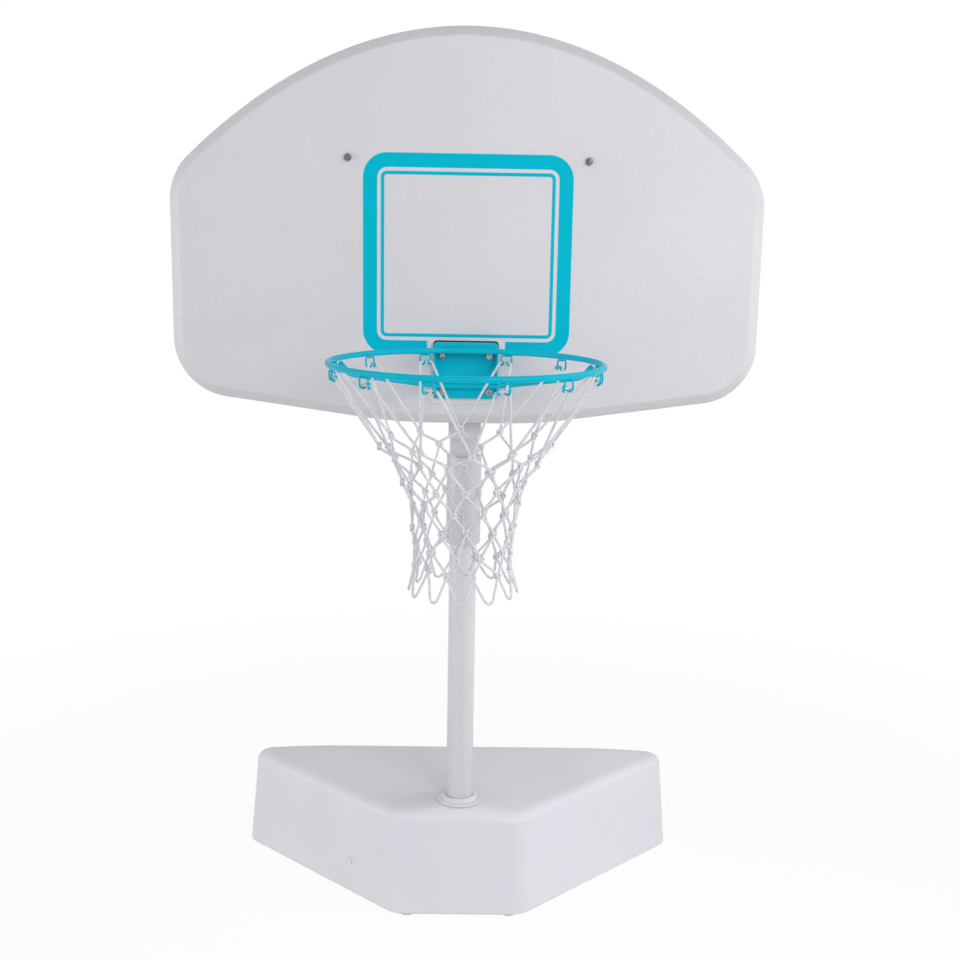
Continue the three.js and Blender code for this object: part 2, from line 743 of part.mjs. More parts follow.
function buildBoard() {
  const outline = boardOutline();
  const rim = boardBack - board.backSkin - fit.gap;
  const inner = face + board.skin;
  const slope = board.bevelDepth / board.bevelWidth;
  const turn = board.skin * (Math.hypot(1, slope) - 1) / slope;
  const layers = [
    [board.bevelWidth + turn, inner], [board.skin, inner + board.bevelDepth], [board.skin, rim], [0, rim],
    ...board.bevelWidth_shares.map((share, i) =>
      [board.bevelWidth * share, face + board.bevelDepth * board.bevelDepth_shares[i]]),
  ];
  const shell = loft(layers.map(([distance, y]) => inset(outline, distance).map((p) => V3(p.x, y, p.y))));
  const pad = loft([
    padOutline(board.padBevel).map((p) => V3(p.x, half(face + inner), p.y)),
    padOutline(board.padBevel).map((p) => V3(p.x, face, p.y)),
    padOutline(0).map((p) => V3(p.x, padFront, p.y)),
  ]);
  const shankHole = half(rimBolt.shank) + fit.screwGap;
  add('backboard_shell', shaped([shell, pad], boardHoles(shankHole, padFront - fit.overrun, rim)), paint.white);
  buildBoardBack(outline, inner, shankHole);
}

// Closed loop of raised rib on the rear skin, beside the cross bar's end
function ribLoop(side, base) {
  const ends = [side * (barHalf + board.ribClear), side * (half(board.width) - board.ribInset)];
  const left = Math.min(...ends);
  const right = Math.max(...ends);
  const low = board.bottom + board.sideRise + board.ribMargin;
  const high = crown(half(board.width)) - board.ribMargin;
  const loop = (shrink) => rectangle(left + shrink, right - shrink, low + shrink, high - shrink,
    board.ribRadius - shrink, board.cornerSteps);
  const top = boardBack + board.ribRise;
  return frontPlate(loop(0), top, top - base, [loop(board.ribWidth)]);
}

// Rear skin with a tube round each bolt and a rib loop on each side
function buildBoardBack(outline, inner, shankHole) {
  const plateFace = boardBack - board.backSkin;
  const middle = half(plateFace + boardBack);
  const plate = frontPlate(outline, boardBack, board.backSkin);
  const bosses = boardHoles(shankHole + board.bossWall, middle, inner + fit.gap);
  const ribs = [-1, 1].map((side) => ribLoop(side, middle));
  const holes = boardHoles(shankHole, inner, boardBack + fit.overrun);
  add('backboard_back', shaped([plate, ...bosses, ...ribs], holes), paint.white);
}

function bracketOutline(grow) {
  const side = half(bracket.width) + grow;
  return rectangle(-side, side, bracketBottom - grow, bracketTop + grow, bracket.corner, board.cornerSteps);
}

function rimHoles(from, to) {
  return rimBoltPlaces.map(({ x, z }) => rodY(half(rimBolt.shank) + fit.gap, from, to, x, z, rimBolt.sides));
}

function buildBracket() {
  const gasket = frontPlate(bracketOutline(bracket.gasketEdge), padFront - fit.gap, bracket.gasket);
  add('bracket_gasket', shaped([gasket], rimHoles(padFront + fit.overrun, gasketFront - fit.overrun)), paint.dark);
  const blank = frontPlate(bracketOutline(0), plateBack, plateBack - bracketFront);
  const side = half(bracket.width) - bracket.sheet;
  const roof = bracketTop - bracket.sheet;
  const lipFoot = bracketTop - bracket.lip;
  const behindLip = box(-side, side, bracketFront + bracket.sheet, plateFront, lipFoot - fit.overrun, roof);
  const below = box(-side, side, bracketFront - fit.overrun, plateFront, bracketBottom - fit.overrun, lipFoot);
  const taper = sidePlate([
    V2(bracketFront - fit.overrun, lipFoot - bracket.taperStart),
    V2(bracketFront, lipFoot - bracket.taperStart),
    V2(plateFront, bracketTop - bracket.taperEnd), V2(plateFront, bracketBottom - fit.overrun),
    V2(bracketFront - fit.overrun, bracketBottom - fit.overrun),
  ], bracket.width + 2 * fit.overrun);
  const cuts = [behindLip, below, taper, ...rimHoles(plateBack + fit.overrun, plateFront - fit.overrun)];
  add('rim_bracket', shaped([blank], cuts), paint.teal);
}

function buildRing() {
  const torus = new THREE.TorusGeometry(ring.radius, half(ring.rod), ring.rodSides, ring.steps);
  add('rim_ring', torus.translate(0, ringCentre, ring.level), paint.teal);
}

// Rod from one side of the ring, across the bracket, to the other side
function buildBrace() {
  const low = ring.level - brace.drop;
  const crossing = plateFront - fit.gap - half(brace.rod);
  const underRing = ring.level - half(ring.rod) - half(brace.rod) - fit.gap;
  const arm = (side) => [
    roundRing(side * brace.endAngle, ring.radius, underRing),
    roundRing(side * brace.kneeAngle, ring.radius + brace.kneeOut, ring.level - brace.kneeDrop),
    V3(side * brace.flatHalf, crossing, low),
  ];
  const path = bentPath([...arm(-1), ...arm(1).reverse()], brace.bend);
  add('brace_rod', rodAlong(path, half(brace.rod), brace.sides, brace.steps), paint.teal);
}

function hookAngles() {
  const angles = [];
  for (let i = 0; i < half(hook.count); i += 1) {
    angles.push(hook.firstAngle + hook.stepAngle * i);
  }
  return [...angles.slice().reverse().map((angle) => -angle), ...angles];
}

// Level of the cord where it lies in the hooks' curls
function curlLevel() {
  return ring.level - half(ring.rod) - fit.gap - half(hook.wire) - hook.drop;
}

// Staple of wire under the ring with both ends curled up towards the inside
function hookCurve() {
  const top = ring.level - half(ring.rod) - fit.gap - half(hook.wire);
  const lean = rad(hook.lean);
  const leg = (side) => {
    const points = [];
    for (let i = 0; i <= hook.curlSteps; i += 1) {
      const turn = Math.PI * (1 - i / hook.curlSteps);
      const inward = hook.curl * (1 - Math.cos(turn));
      points.push(V3(side * (hook.half - inward * Math.sin(lean)), inward * Math.cos(lean),
        curlLevel() - hook.curl * Math.sin(turn)));
    }
    points.unshift(points[0].clone().add(V3(0, 0, hook.tip)));
    const elbow = hook.wire * (1 - Math.SQRT1_2);
    points.push(V3(side * hook.half, 0, top - hook.wire));
    points.push(V3(side * (hook.half - elbow), 0, top - elbow));
    points.push(V3(side * (hook.half - hook.wire), 0, top));
    points.push(V3(side * (hook.half - 2 * hook.wire), 0, top));
    return points;
  };
  return new THREE.CatmullRomCurve3([...leg(-1), ...leg(1).reverse()], false, 'centripetal');
}

function buildHooks() {
  hookAngles().forEach((angle, i) => {
    const wire = rodAlong(hookCurve(), half(hook.wire), hook.sides, hook.steps);
    wire.translate(0, -ring.radius, 0).rotateZ(rad(angle)).translate(0, ringCentre, 0);
    add(`net_hook_${i + 1}`, wire, paint.teal);
  });
}

// Builds the net as one surface: every knot is a small block whose four slanted
// sides are the ends of four cords
function netBuilder() {
  const points = [];
  const index = [];
  const quad = (a, b, c, d) => index.push(a, b, c, a, c, d);
  const put = (p) => points.push(p) - 1;
  const flat = (a) => V3(a.x, a.y - ringCentre, 0).normalize();

  // Outward normal of the net's surface, for cords that lie in it
  const outward = (p, climb) => {
    const out = flat(p);
    const across = V3(-out.y, out.x, 0);
    return across.cross(climb).normalize();
  };

  const knot = (place, climb) => {
    const normal = outward(place, climb);
    const across = climb.clone().cross(normal).normalize();
    const side = (offset) => [1, -1].map((s) =>
      put(place.clone().add(offset).addScaledVector(normal, s * half(net.cord))));
    const sides = {
      top: side(climb.clone().multiplyScalar(net.knotTall)),
      right: side(across.clone().multiplyScalar(net.knotHalf)),
      bottom: side(climb.clone().multiplyScalar(-net.knotTall)),
      left: side(across.clone().multiplyScalar(-net.knotHalf)),
    };
    const { top, right, bottom, left } = sides;
    quad(top[0], left[0], bottom[0], right[0]);
    quad(top[1], right[1], bottom[1], left[1]);
    return {
      place,
      upRight: [right[0], right[1], top[1], top[0]],
      downLeft: [bottom[0], bottom[1], left[1], left[0]],
      downRight: [bottom[0], bottom[1], right[1], right[0]],
      upLeft: [left[0], left[1], top[1], top[0]],
    };
  };

  // Cord from one knot's side to another's, through the places between
  const cord = (start, path, end) => {
    const stations = [start];
    path.forEach(({ place, along, normal }) => {
      const below = along.clone().cross(normal).normalize();
      const corner = (s, t) => put(place.clone().addScaledVector(below, s * half(net.cord))
        .addScaledVector(normal, t * half(net.cord)));
      stations.push([corner(1, 1), corner(1, -1), corner(-1, -1), corner(-1, 1)]);
    });
    stations.push(end);
    for (let k = 0; k + 1 < stations.length; k += 1) {
      for (let i = 0; i < 4; i += 1) {
        const j = (i + 1) % 4;
        quad(stations[k][i], stations[k][j], stations[k + 1][j], stations[k + 1][i]);
      }
    }
  };

  const geometry = () => {
    const body = new THREE.BufferGeometry();
    const position = points.flatMap((p) => [p.x, p.y, p.z]);
    body.setAttribute('position', new THREE.Float32BufferAttribute(position, 3));
    body.setIndex(index);
    return body;
  };
  return { knot, cord, outward, flat, geometry };
}

function buildNet() {
  const weave = netBuilder();
  const count = hook.count;
  const step = 360 / count;
  const level = (drop) => ring.level - drop;
  const rows = net.rowDrops.map((drop, row) => {
    const above = row ? row - 1 : 0;
    const below = Math.min(row + 1, net.rowDrops.length - 1);
    const lean = (net.rowRadii[above] - net.rowRadii[below]) / (net.rowDrops[below] - net.rowDrops[above]);
    const knots = [];
    for (let i = 0; i < count; i += 1) {
      const angle = step * (i - count / 2 + (row % 2) / 2);
      const place = roundRing(angle, net.rowRadii[row], level(drop));
      const climb = weave.flat(place).multiplyScalar(lean).add(V3(0, 0, 1)).normalize();
      knots.push(weave.knot(place, climb));
    }
    return knots;
  });
  for (let row = 0; row + 1 < rows.length; row += 1) {
    for (let i = 0; i < count; i += 1) {
      const shift = row % 2;
      const lowRight = rows[row + 1][(i + shift) % count];
      const lowLeft = rows[row + 1][(i + shift + count - 1) % count];
      weave.cord(rows[row][i].downRight, [], lowRight.upLeft);
      weave.cord(lowLeft.upRight, [], rows[row][i].downLeft);
    }
  }
  hangFromHooks(weave, rows[0]);
  closeLoops(weave, rows[rows.length - 1], level(net.loopDrop), step);
  add('net', weave.geometry(), paint.cord);
}

// Cord from a knot up to a hook, through both curls and down to the next knot
function hangFromHooks(weave, knots) {
  const seat = ring.radius - hook.curl * Math.cos(rad(hook.lean));
  const curlHalf = hook.half - hook.curl * Math.sin(rad(hook.lean));
  hookAngles().forEach((angle, i) => {
    const spread = THREE.MathUtils.radToDeg((curlHalf + hook.wire + half(net.cord)) / seat);
    const out = weave.flat(roundRing(angle, 1, 0));
    const across = V3(-out.y, out.x, 0);
    const stations = net.bend_shares.map((side) => ({
      place: roundRing(angle + spread * side, seat, curlLevel()),
      along: across.clone().add(V3(0, 0, Math.abs(side) === 1 ? -side : 0)),
      normal: out,
    }));
    weave.cord(knots[i].upRight, stations, knots[(i + 1) % knots.length].upLeft);
  });
}

// Open loops that hang from the lowest knots
function closeLoops(weave, knots, bottom, step) {
  knots.forEach((knot, i) => {
    const angle = step * (i - knots.length / 2 + 0.5);
    const out = weave.flat(roundRing(angle, 1, 0));
    const across = V3(-out.y, out.x, 0);
    const spread = THREE.MathUtils.radToDeg(net.loopHalf / net.loopRadius);
    const stations = net.bend_shares.map((side, k) => ({
      place: roundRing(angle + spread * side, net.loopRadius,
        bottom + half(net.cord) + (Math.abs(side) === 1 ? net.loopBend : 0)),
      along: across.clone().add(V3(0, 0, net.loopSlope_shares[k])),
      normal: out,
    }));
    weave.cord(knot.downRight, stations, knots[(i + 1) % knots.length].downLeft);
  });
}

function poleBoltLevels() {
  return channel.boltLevel_shares.map((share) => channel.bottom + (channel.top - channel.bottom) * share);
}

function mastBoltHoles() {
  const reach = channelSide + fit.overrun;
  return poleBoltLevels().map((level) =>
    rodX(half(poleBolt.shank) + fit.gap, -reach, reach, 0, level, poleBolt.sides));
}

function buildRearFrame() {
  const web = -channelFront - channel.sheet;
  const flange = -channelFront - channel.depth;
  const section = [
    V2(-channelSide, -channelFront), V2(-channelSide, flange), V2(-channelSide + channel.sheet, flange),
    V2(-channelSide + channel.sheet, web), V2(channelSide - channel.sheet, web),
    V2(channelSide - channel.sheet, flange), V2(channelSide, flange), V2(channelSide, -channelFront),
  ];
  const shape = new THREE.Shape(section.map((p) => V2(p.x, -p.y)));
  const depth = channel.top - channel.bottom;
  const rail = new THREE.ExtrudeGeometry(shape, { depth, bevelEnabled: false, steps: 1 });
  rail.translate(0, 0, channel.bottom);
  add('mast_channel', shaped([rail], mastBoltHoles()), paint.grey);

  const barFront = boardBack + fit.gap;
  const barBack = channelFront - fit.gap;
  const barLow = board.boltLevel - half(crossBar.height);
  const barHigh = board.boltLevel + half(crossBar.height);
  const outer = [V2(barFront, barLow), V2(barBack, barLow), V2(barBack, barHigh), V2(barFront, barHigh)];
  const wall = crossBar.sheet;
  const inner = [
    V2(barFront + wall, barLow + wall), V2(barFront + wall, barHigh - wall),
    V2(barBack - wall, barHigh - wall), V2(barBack - wall, barLow + wall),
  ];
  const bar = sidePlate(outer, 2 * barHalf, [inner]);
  const boltHoles = boardBoltPlaces.map(({ x, z }) =>
    rodY(half(boardBolt.shank) + fit.gap, barFront - fit.overrun, barBack + fit.overrun, x, z, boardBolt.sides));
  add('cross_bar', shaped([bar], boltHoles), paint.grey);

  const plateLow = half(bracketTop + bracketBottom - backPlate.height);
  const plateHigh = plateLow + backPlate.height;
  const sheet = backPlate.sheet;
  const profile = [
    V2(barFront, plateLow), V2(barBack, plateLow),
    V2(barBack, plateLow + sheet), V2(barFront + sheet, plateLow + sheet),
    V2(barFront + sheet, plateHigh - sheet), V2(barBack, plateHigh - sheet),
    V2(barBack, plateHigh), V2(barFront, plateHigh),
  ];
  add('rear_bracket', shaped([sidePlate(profile, backPlate.width)],
    rimHoles(barFront - fit.overrun, barFront + sheet + fit.overrun)), paint.grey);
}

function buildFasteners() {
  const names = ['upper_left', 'lower_left', 'upper_right', 'lower_right'];
  const rimNut = boardBack + fit.gap + backPlate.sheet + fit.gap;
  rimBoltPlaces.forEach(({ x, z }, i) => {
    const bolt = boltY(rimBolt, plateFront - fit.gap, boltTip(rimBolt, rimNut), x, z, rimBolt.sides);
    add(`rim_bolt_${names[i]}`, bolt, paint.steel);
    add(`rim_nut_${names[i]}`, nutY(rimBolt, rimNut, x, z), paint.steel);
  });
  boardBoltPlaces.forEach(({ x, z }, i) => {
    const side = i ? 'right' : 'left';
    const bolt = boltY(boardBolt, face - fit.gap, boltTip(boardBolt, channelFront), x, z, hexagon);
    add(`board_bolt_${side}`, bolt, paint.dark);
    add(`board_nut_${side}`, nutY(boardBolt, channelFront, x, z), paint.steel);
  });
  const start = channelSide + fit.gap;
  poleBoltLevels().forEach((level, i) => {
    const place = i ? 'upper' : 'lower';
    const across = (geometry) => geometry.rotateZ(half(Math.PI)).translate(0, 0, level);
    const bolt = boltY(poleBolt, -start, boltTip(poleBolt, start), 0, 0, hexagon);
    add(`mast_bolt_${place}`, across(bolt), paint.steel);
    add(`mast_nut_${place}`, across(nutY(poleBolt, start, 0, 0)), paint.steel);
  });
}

// Puts the origin on the floor under the middle of the part's box
function centreOnFloor() {
  const whole = new THREE.Box3();
  hoop.children.forEach((mesh) => {
    mesh.geometry.computeBoundingBox();
    whole.union(mesh.geometry.boundingBox);
  });
  const middle = whole.getCenter(V3(0, 0, 0));
  hoop.children.forEach((mesh) => mesh.position.set(-middle.x, -middle.y, -whole.min.z));
}

buildTank();
buildFeet();
buildDrain();
buildFiller();
buildLowerPole();
buildUpperPole();
buildSleeve();
buildClamp();
buildBoard();
buildBracket();
buildRing();
buildBrace();
buildHooks();
buildNet();
buildRearFrame();
buildFasteners();
centreOnFloor();

export default hoop;
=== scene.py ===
"""Poolside basketball hoop: its looks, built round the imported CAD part, in metres."""

import logging
import math
import random
from dataclasses import dataclass, field
from enum import Enum
from typing import Iterable, Sequence

import bmesh
import bpy
from mathutils import Matrix, Vector
from mathutils.geometry import interpolate_bezier

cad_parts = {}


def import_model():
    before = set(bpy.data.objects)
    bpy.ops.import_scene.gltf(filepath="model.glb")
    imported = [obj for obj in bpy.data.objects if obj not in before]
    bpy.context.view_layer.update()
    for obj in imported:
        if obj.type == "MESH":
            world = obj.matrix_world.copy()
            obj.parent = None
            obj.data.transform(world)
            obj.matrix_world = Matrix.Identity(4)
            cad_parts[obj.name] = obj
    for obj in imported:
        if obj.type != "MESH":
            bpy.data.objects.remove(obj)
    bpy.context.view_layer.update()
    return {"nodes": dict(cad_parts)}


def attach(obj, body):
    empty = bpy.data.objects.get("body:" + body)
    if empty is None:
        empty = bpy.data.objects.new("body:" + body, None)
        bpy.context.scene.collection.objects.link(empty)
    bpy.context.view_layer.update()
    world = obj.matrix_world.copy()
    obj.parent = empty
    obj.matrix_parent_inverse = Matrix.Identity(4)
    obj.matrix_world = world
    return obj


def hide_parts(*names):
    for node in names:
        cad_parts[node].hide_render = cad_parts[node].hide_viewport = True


LOG = logging.getLogger("poolside_hoop")
POLE_Y = 0.1346669
"""Where the pole's axis stands along Y in the shared frame."""
SNAP = 0.0001
"""Two places that are nearer than this count as one."""
SEAM = 0.00001
"""Points that are nearer than this are merged."""
FACING = 0.9
"""A unit direction that reaches farther than this along an axis counts as facing it."""

RIGHT = Vector((1, 0, 0))
REAR = Vector((0, 1, 0))
UP = Vector((0, 0, 1))

BMesh = bmesh.types.BMesh
BMEdge = bmesh.types.BMEdge
BMFace = bmesh.types.BMFace
BMVert = bmesh.types.BMVert
Element = BMVert | BMEdge | BMFace
Socket = bpy.types.NodeSocket
Colour = tuple[float, float, float]
Flat = list[tuple[float, float]]
Path = list[Vector]


class Slot(Enum):
    """Material slots of the part's record."""

    TANK = "tank_plastic"
    BOARD = "board_plastic"
    COLLAR = "collar_plastic"
    POLE = "pole_paint"
    FRAME = "frame_paint"
    RIM = "rim_paint"
    CORD = "net_cord"
    STEEL = "steel"
    DARK_STEEL = "dark_steel"
    DARK_PLASTIC = "dark_plastic"
    RUBBER = "rubber"


class Body(Enum):
    """Moving bodies that new pieces ride on."""

    STAND = "stand"
    MAST = "mast"


class Join(Enum):
    """Ways to combine two closed shapes."""

    ADD = "UNION"
    CUT = "DIFFERENCE"


# Finishes


def linear(colour: Colour) -> tuple[float, float, float, float]:
    """Turns a screen colour into the scene's linear one.

    Args:
        colour: Red, green and blue from 0 to 255, as a screen shows them.

    Returns:
        The linear colour with an alpha of one.
    """
    shares = [value / 255 for value in colour]
    red, green, blue = (s / 12.92 if s <= 0.04045 else ((s + 0.055) / 1.055) ** 2.4 for s in shares)
    return red, green, blue, 1.0


class Graph:
    """A node tree that is filled node by node."""

    def __init__(self, tree: bpy.types.NodeTree) -> None:
        """Starts on a material's or a world's tree."""
        self.nodes = tree.nodes
        self.links = tree.links

    def feed(self, node: bpy.types.Node, inputs: dict[str | int, object]) -> None:
        """Fills a node's inputs.

        Args:
            node: The node.
            inputs: A socket to link or a plain value, under each input's name or number.
        """
        for key, value in inputs.items():
            if isinstance(value, Socket):
                self.links.new(value, node.inputs[key])
            else:
                node.inputs[key].default_value = value

    def add(
        self, kind: str, inputs: dict[str | int, object] | None = None, **settings: object
    ) -> bpy.types.Node:
        """Adds a node.

        Args:
            kind: The node's type, without the words ShaderNode.
            inputs: What its inputs get, as in feed.
            settings: The node's own settings.

        Returns:
            The node.
        """
        node = self.nodes.new(f"ShaderNode{kind}")
        for name, value in settings.items():
            setattr(node, name, value)
        self.feed(node, inputs or {})
        return node

    def maths(self, operation: str, *values: Socket | float) -> Socket:
        """Adds one step of arithmetic and returns its result."""
        return self.add("Math", dict(enumerate(values)), operation=operation).outputs[0]

    def scaled(self, colour: Socket, share: Socket) -> Socket:
        """Multiplies a colour by a share."""
        return self.add("VectorMath", {"Vector": colour, "Scale": share}, operation="SCALE").outputs["Vector"]

    def noise(self, place: Socket, size: float, detail: float = 2.0) -> Socket:
        """Adds noise with patches of one size."""
        return self.add("TexNoise", {"Scale": 1 / size, "Detail": detail, "Vector": place}).outputs["Fac"]

    def spread(self, value: Socket, low: float, high: float) -> Socket:
        """Spreads a share over the numbers between two."""
        return self.add("MapRange", {"To Min": low, "To Max": high, "Value": value}).outputs["Result"]

    def fade(self, value: Socket, start: float, end: float, low: float = 0.0, high: float = 1.0) -> Socket:
        """Adds a soft step.

        Args:
            value: What the step depends on.
            start: Where the step starts.
            end: Where it ends.
            low: The number before it.
            high: The number after it.

        Returns:
            The stepped number.
        """
        reach = {"From Min": start, "From Max": end, "To Min": low, "To Max": high, "Value": value}
        return self.add("MapRange", reach, interpolation_type="SMOOTHSTEP").outputs["Result"]

    def bump(self, height: Socket, depth: float, below: Socket | None = None) -> Socket:
        """Adds a bump, on top of another where one is given.

        Args:
            height: The height, from zero to one.
            depth: What a height of one measures.
            below: The normal of the bump below it.

        Returns:
            The bumped normal.
        """
        bump = self.add("Bump", {"Strength": 1.0, "Distance": depth, "Height": height})
        if below is not None:
            self.feed(bump, {"Normal": below})
        return bump.outputs["Normal"]

    def seen(self) -> Socket:
        """Tells what sees a surface.

        Returns:
            One where the eye, a mirror or glass sees it, else zero.
        """
        rays = self.add("LightPath").outputs
        first = self.maths("MAXIMUM", rays["Is Camera Ray"], rays["Is Glossy Ray"])
        return self.maths("MAXIMUM", first, rays["Is Transmission Ray"])


@dataclass(frozen=True)
class Finish:
    """A surface with patchy colour, uneven gloss and a fine grain."""

    name: str
    colour: Colour
    patch_colour: Colour
    patch_size: float = 0.16
    patch_detail: float = 3.0
    patch_edges: tuple[float, float] = (0.34, 0.66)
    roughness: tuple[float, float] = (0.42, 0.52)
    gloss_patch: float = 9.0
    """Size of the gloss's patches, counted in grains."""
    grain_size: float = 0.0022
    grain_height: float = 0.00006
    wave_size: float = 0.09
    wave_height: float = 0.0
    metallic: float = 0.0
    specular: float = 0.5

    def make(self) -> bpy.types.Material:
        """Builds the material from its nodes.

        Returns:
            The material, ready for a piece's slot.
        """
        material = bpy.data.materials.new(self.name)
        material.use_nodes = True
        graph = Graph(material.node_tree)
        place = graph.add("TexCoord").outputs["Object"]
        patches = graph.add("ValToRGB", {"Fac": graph.noise(place, self.patch_size, self.patch_detail)})
        colours = (self.patch_colour, self.colour)
        for end, edge, colour in zip(patches.color_ramp.elements, self.patch_edges, colours):
            end.position = edge
            end.color = linear(colour)
        gloss = graph.noise(place, self.grain_size * self.gloss_patch)
        graph.feed(graph.nodes["Principled BSDF"], {
            "Metallic": self.metallic,
            "Specular IOR Level": self.specular,
            "Base Color": self._tint(graph, place, patches.outputs["Color"]),
            "Roughness": graph.spread(gloss, *self.roughness),
            "Normal": self._relief(graph, place),
        })
        return material

    def _relief(self, graph: Graph, place: Socket) -> Socket:
        """Adds the slow waves and the fine grain.

        Args:
            graph: The material's nodes.
            place: Object coordinates.

        Returns:
            The normal.
        """
        below = None
        if self.wave_height:
            below = graph.bump(graph.noise(place, self.wave_size, 1.0), self.wave_height)
        return graph.bump(graph.noise(place, self.grain_size), self.grain_height, below)

    def _tint(self, graph: Graph, place: Socket, colour: Socket) -> Socket:
        """Leaves the colour as it is; finishes with marks change it."""
        return colour


@dataclass(frozen=True)
class Speckled(Finish):
    """A finish with fine pale and dark flecks in its colour."""

    fleck_size: float = 0.0035
    fleck_share: float = 0.1

    def _tint(self, graph: Graph, place: Socket, colour: Socket) -> Socket:
        """Multiplies the colour by fine flecks."""
        flecks = graph.noise(place, self.fleck_size)
        return graph.scaled(colour, graph.spread(flecks, 1 - self.fleck_share, 1 + self.fleck_share))


@dataclass(frozen=True)
class PaintedShadeBorder(Speckled):
    """A speckled finish with painted shade on the border set back from the face, darkest at the top."""

    face_level: float = 0.0
    border_near: float = 0.0004
    border_far: float = 0.003
    border_painted_shade: float = 0.05
    top_painted_shade: float = 0.1
    top_from: float = 1.35
    top_to: float = 1.65

    def _tint(self, graph: Graph, place: Socket, colour: Socket) -> Socket:
        """Darkens the flecked colour behind the face as painted shade, more towards the top.

        Args:
            graph: The material's nodes.
            place: Object coordinates.
            colour: The colour before it is flecked.

        Returns:
            The flecked colour, with painted shade on the border.
        """
        # Painted shade: the border behind the face is darkened, most along the top of the board.
        parts = graph.add("SeparateXYZ", {0: place}).outputs
        behind = graph.fade(
            parts["Y"], self.face_level + self.border_near, self.face_level + self.border_far
        )
        share = graph.fade(parts["Z"], self.top_from, self.top_to, self.border_painted_shade, self.top_painted_shade)
        kept = graph.maths("SUBTRACT", 1.0, graph.maths("MULTIPLY", behind, share))
        return graph.scaled(super()._tint(graph, place, colour), kept)


TARGET_PRINT = Finish(
    "teal_target_print", (1, 182, 207), (1, 179, 204), patch_size=0.2, roughness=(0.5, 0.6),
    grain_size=0.0032, grain_height=0.00008, specular=0.04,
)
# A darker copy of the pole's white coat: painted shade from the board above, on the upper pole and the
# sleeve.
POLE_PAINTED_SHADE = Finish(
    "white_pole_coat_painted_shade", (197, 195, 199), (193, 192, 196), roughness=(0.26, 0.34),
    grain_size=0.003, grain_height=0.00008,
)
PALE_FOOT = Finish(
    "pale_foot_rubber", (205, 203, 206), (198, 196, 199), patch_size=0.02, roughness=(0.6, 0.7),
    grain_size=0.0012, grain_height=0.00008, specular=0.35,
)
FINISHES: dict[Slot, Finish] = {
    Slot.TANK: Speckled(
        "moulded_tank_plastic", (219, 216, 222), (215, 213, 221), roughness=(0.46, 0.56),
        grain_size=0.004, grain_height=0.00012, wave_size=0.14, wave_height=0.0012, fleck_share=0.02,
    ),
    # The board's border gets painted shade from this finish, darkest along the top.
    Slot.BOARD: PaintedShadeBorder(
        "moulded_board_plastic", (210, 209, 214), (207, 206, 211), roughness=(0.48, 0.58),
        grain_size=0.0032, grain_height=0.00014, wave_size=0.2, wave_height=0.0008, fleck_share=0.05,
        face_level=POLE_Y - 0.0875,
    ),
    Slot.COLLAR: Finish(
        "smooth_collar_plastic", (212, 210, 215), (208, 206, 212), roughness=(0.3, 0.4),
        grain_height=0.00003,
    ),
    Slot.POLE: Finish(
        "white_pole_coat", (208, 206, 211), (204, 203, 208), roughness=(0.26, 0.34),
        grain_size=0.003, grain_height=0.00008,
    ),
    Slot.FRAME: Finish(
        "white_frame_coat", (206, 205, 209), (201, 200, 205), roughness=(0.3, 0.4),
        grain_size=0.0025, grain_height=0.00008,
    ),
    Slot.RIM: Finish(
        "teal_rim_coat", (1, 182, 207), (1, 175, 200), patch_size=0.05, roughness=(0.17, 0.25),
        grain_size=0.0025, grain_height=0.00006, specular=0.07,
    ),
    Slot.CORD: Speckled(
        "white_net_cord", (221, 221, 226), (211, 211, 217), patch_size=0.02, roughness=(0.7, 0.8),
        grain_size=0.0007, grain_height=0.00025, fleck_size=0.0012, fleck_share=0.08,
    ),
    Slot.STEEL: Finish(
        "zinc_plated_steel", (190, 184, 176), (104, 99, 94), patch_size=0.0035,
        roughness=(0.16, 0.28), grain_size=0.0008, grain_height=0.00002, metallic=1.0,
    ),
    Slot.DARK_STEEL: Finish(
        "dark_bolt_steel", (122, 120, 118), (92, 91, 92), patch_size=0.005,
        roughness=(0.32, 0.48), grain_size=0.0008, grain_height=0.00003, metallic=0.9,
    ),
    Slot.DARK_PLASTIC: Finish(
        "dark_moulded_plastic", (46, 47, 50), (38, 39, 42), patch_size=0.03,
        roughness=(0.4, 0.52), grain_size=0.0012, grain_height=0.00008,
    ),
    Slot.RUBBER: Finish(
        "black_rubber", (34, 34, 35), (28, 28, 29), patch_size=0.02,
        roughness=(0.68, 0.8), grain_size=0.001, grain_height=0.0001, specular=0.35,
    ),
}


# Objects


def placed(name: str, data: bpy.types.ID) -> bpy.types.Object:
    """Makes an object and links it to the scene.

    Args:
        name: The object's name.
        data: Its mesh, curve, camera or light.

    Returns:
        The object.
    """
    made = bpy.data.objects.new(name, data)
    bpy.context.scene.collection.objects.link(made)
    return made


def meshed(shape: BMesh, name: str) -> bpy.types.Mesh:
    """Turns a bmesh into a mesh.

    Args:
        shape: The bmesh. It is freed.
        name: The mesh's name.

    Returns:
        The mesh.
    """
    mesh = bpy.data.meshes.new(name)
    shape.to_mesh(mesh)
    shape.free()
    return mesh


def modified(made: bpy.types.Object, name: str, kind: str, **settings: object) -> None:
    """Gives an object a modifier.

    Args:
        made: The object.
        name: The modifier's name.
        kind: Its type.
        settings: Its settings.
    """
    change = made.modifiers.new(name, kind)
    for key, value in settings.items():
        setattr(change, key, value)


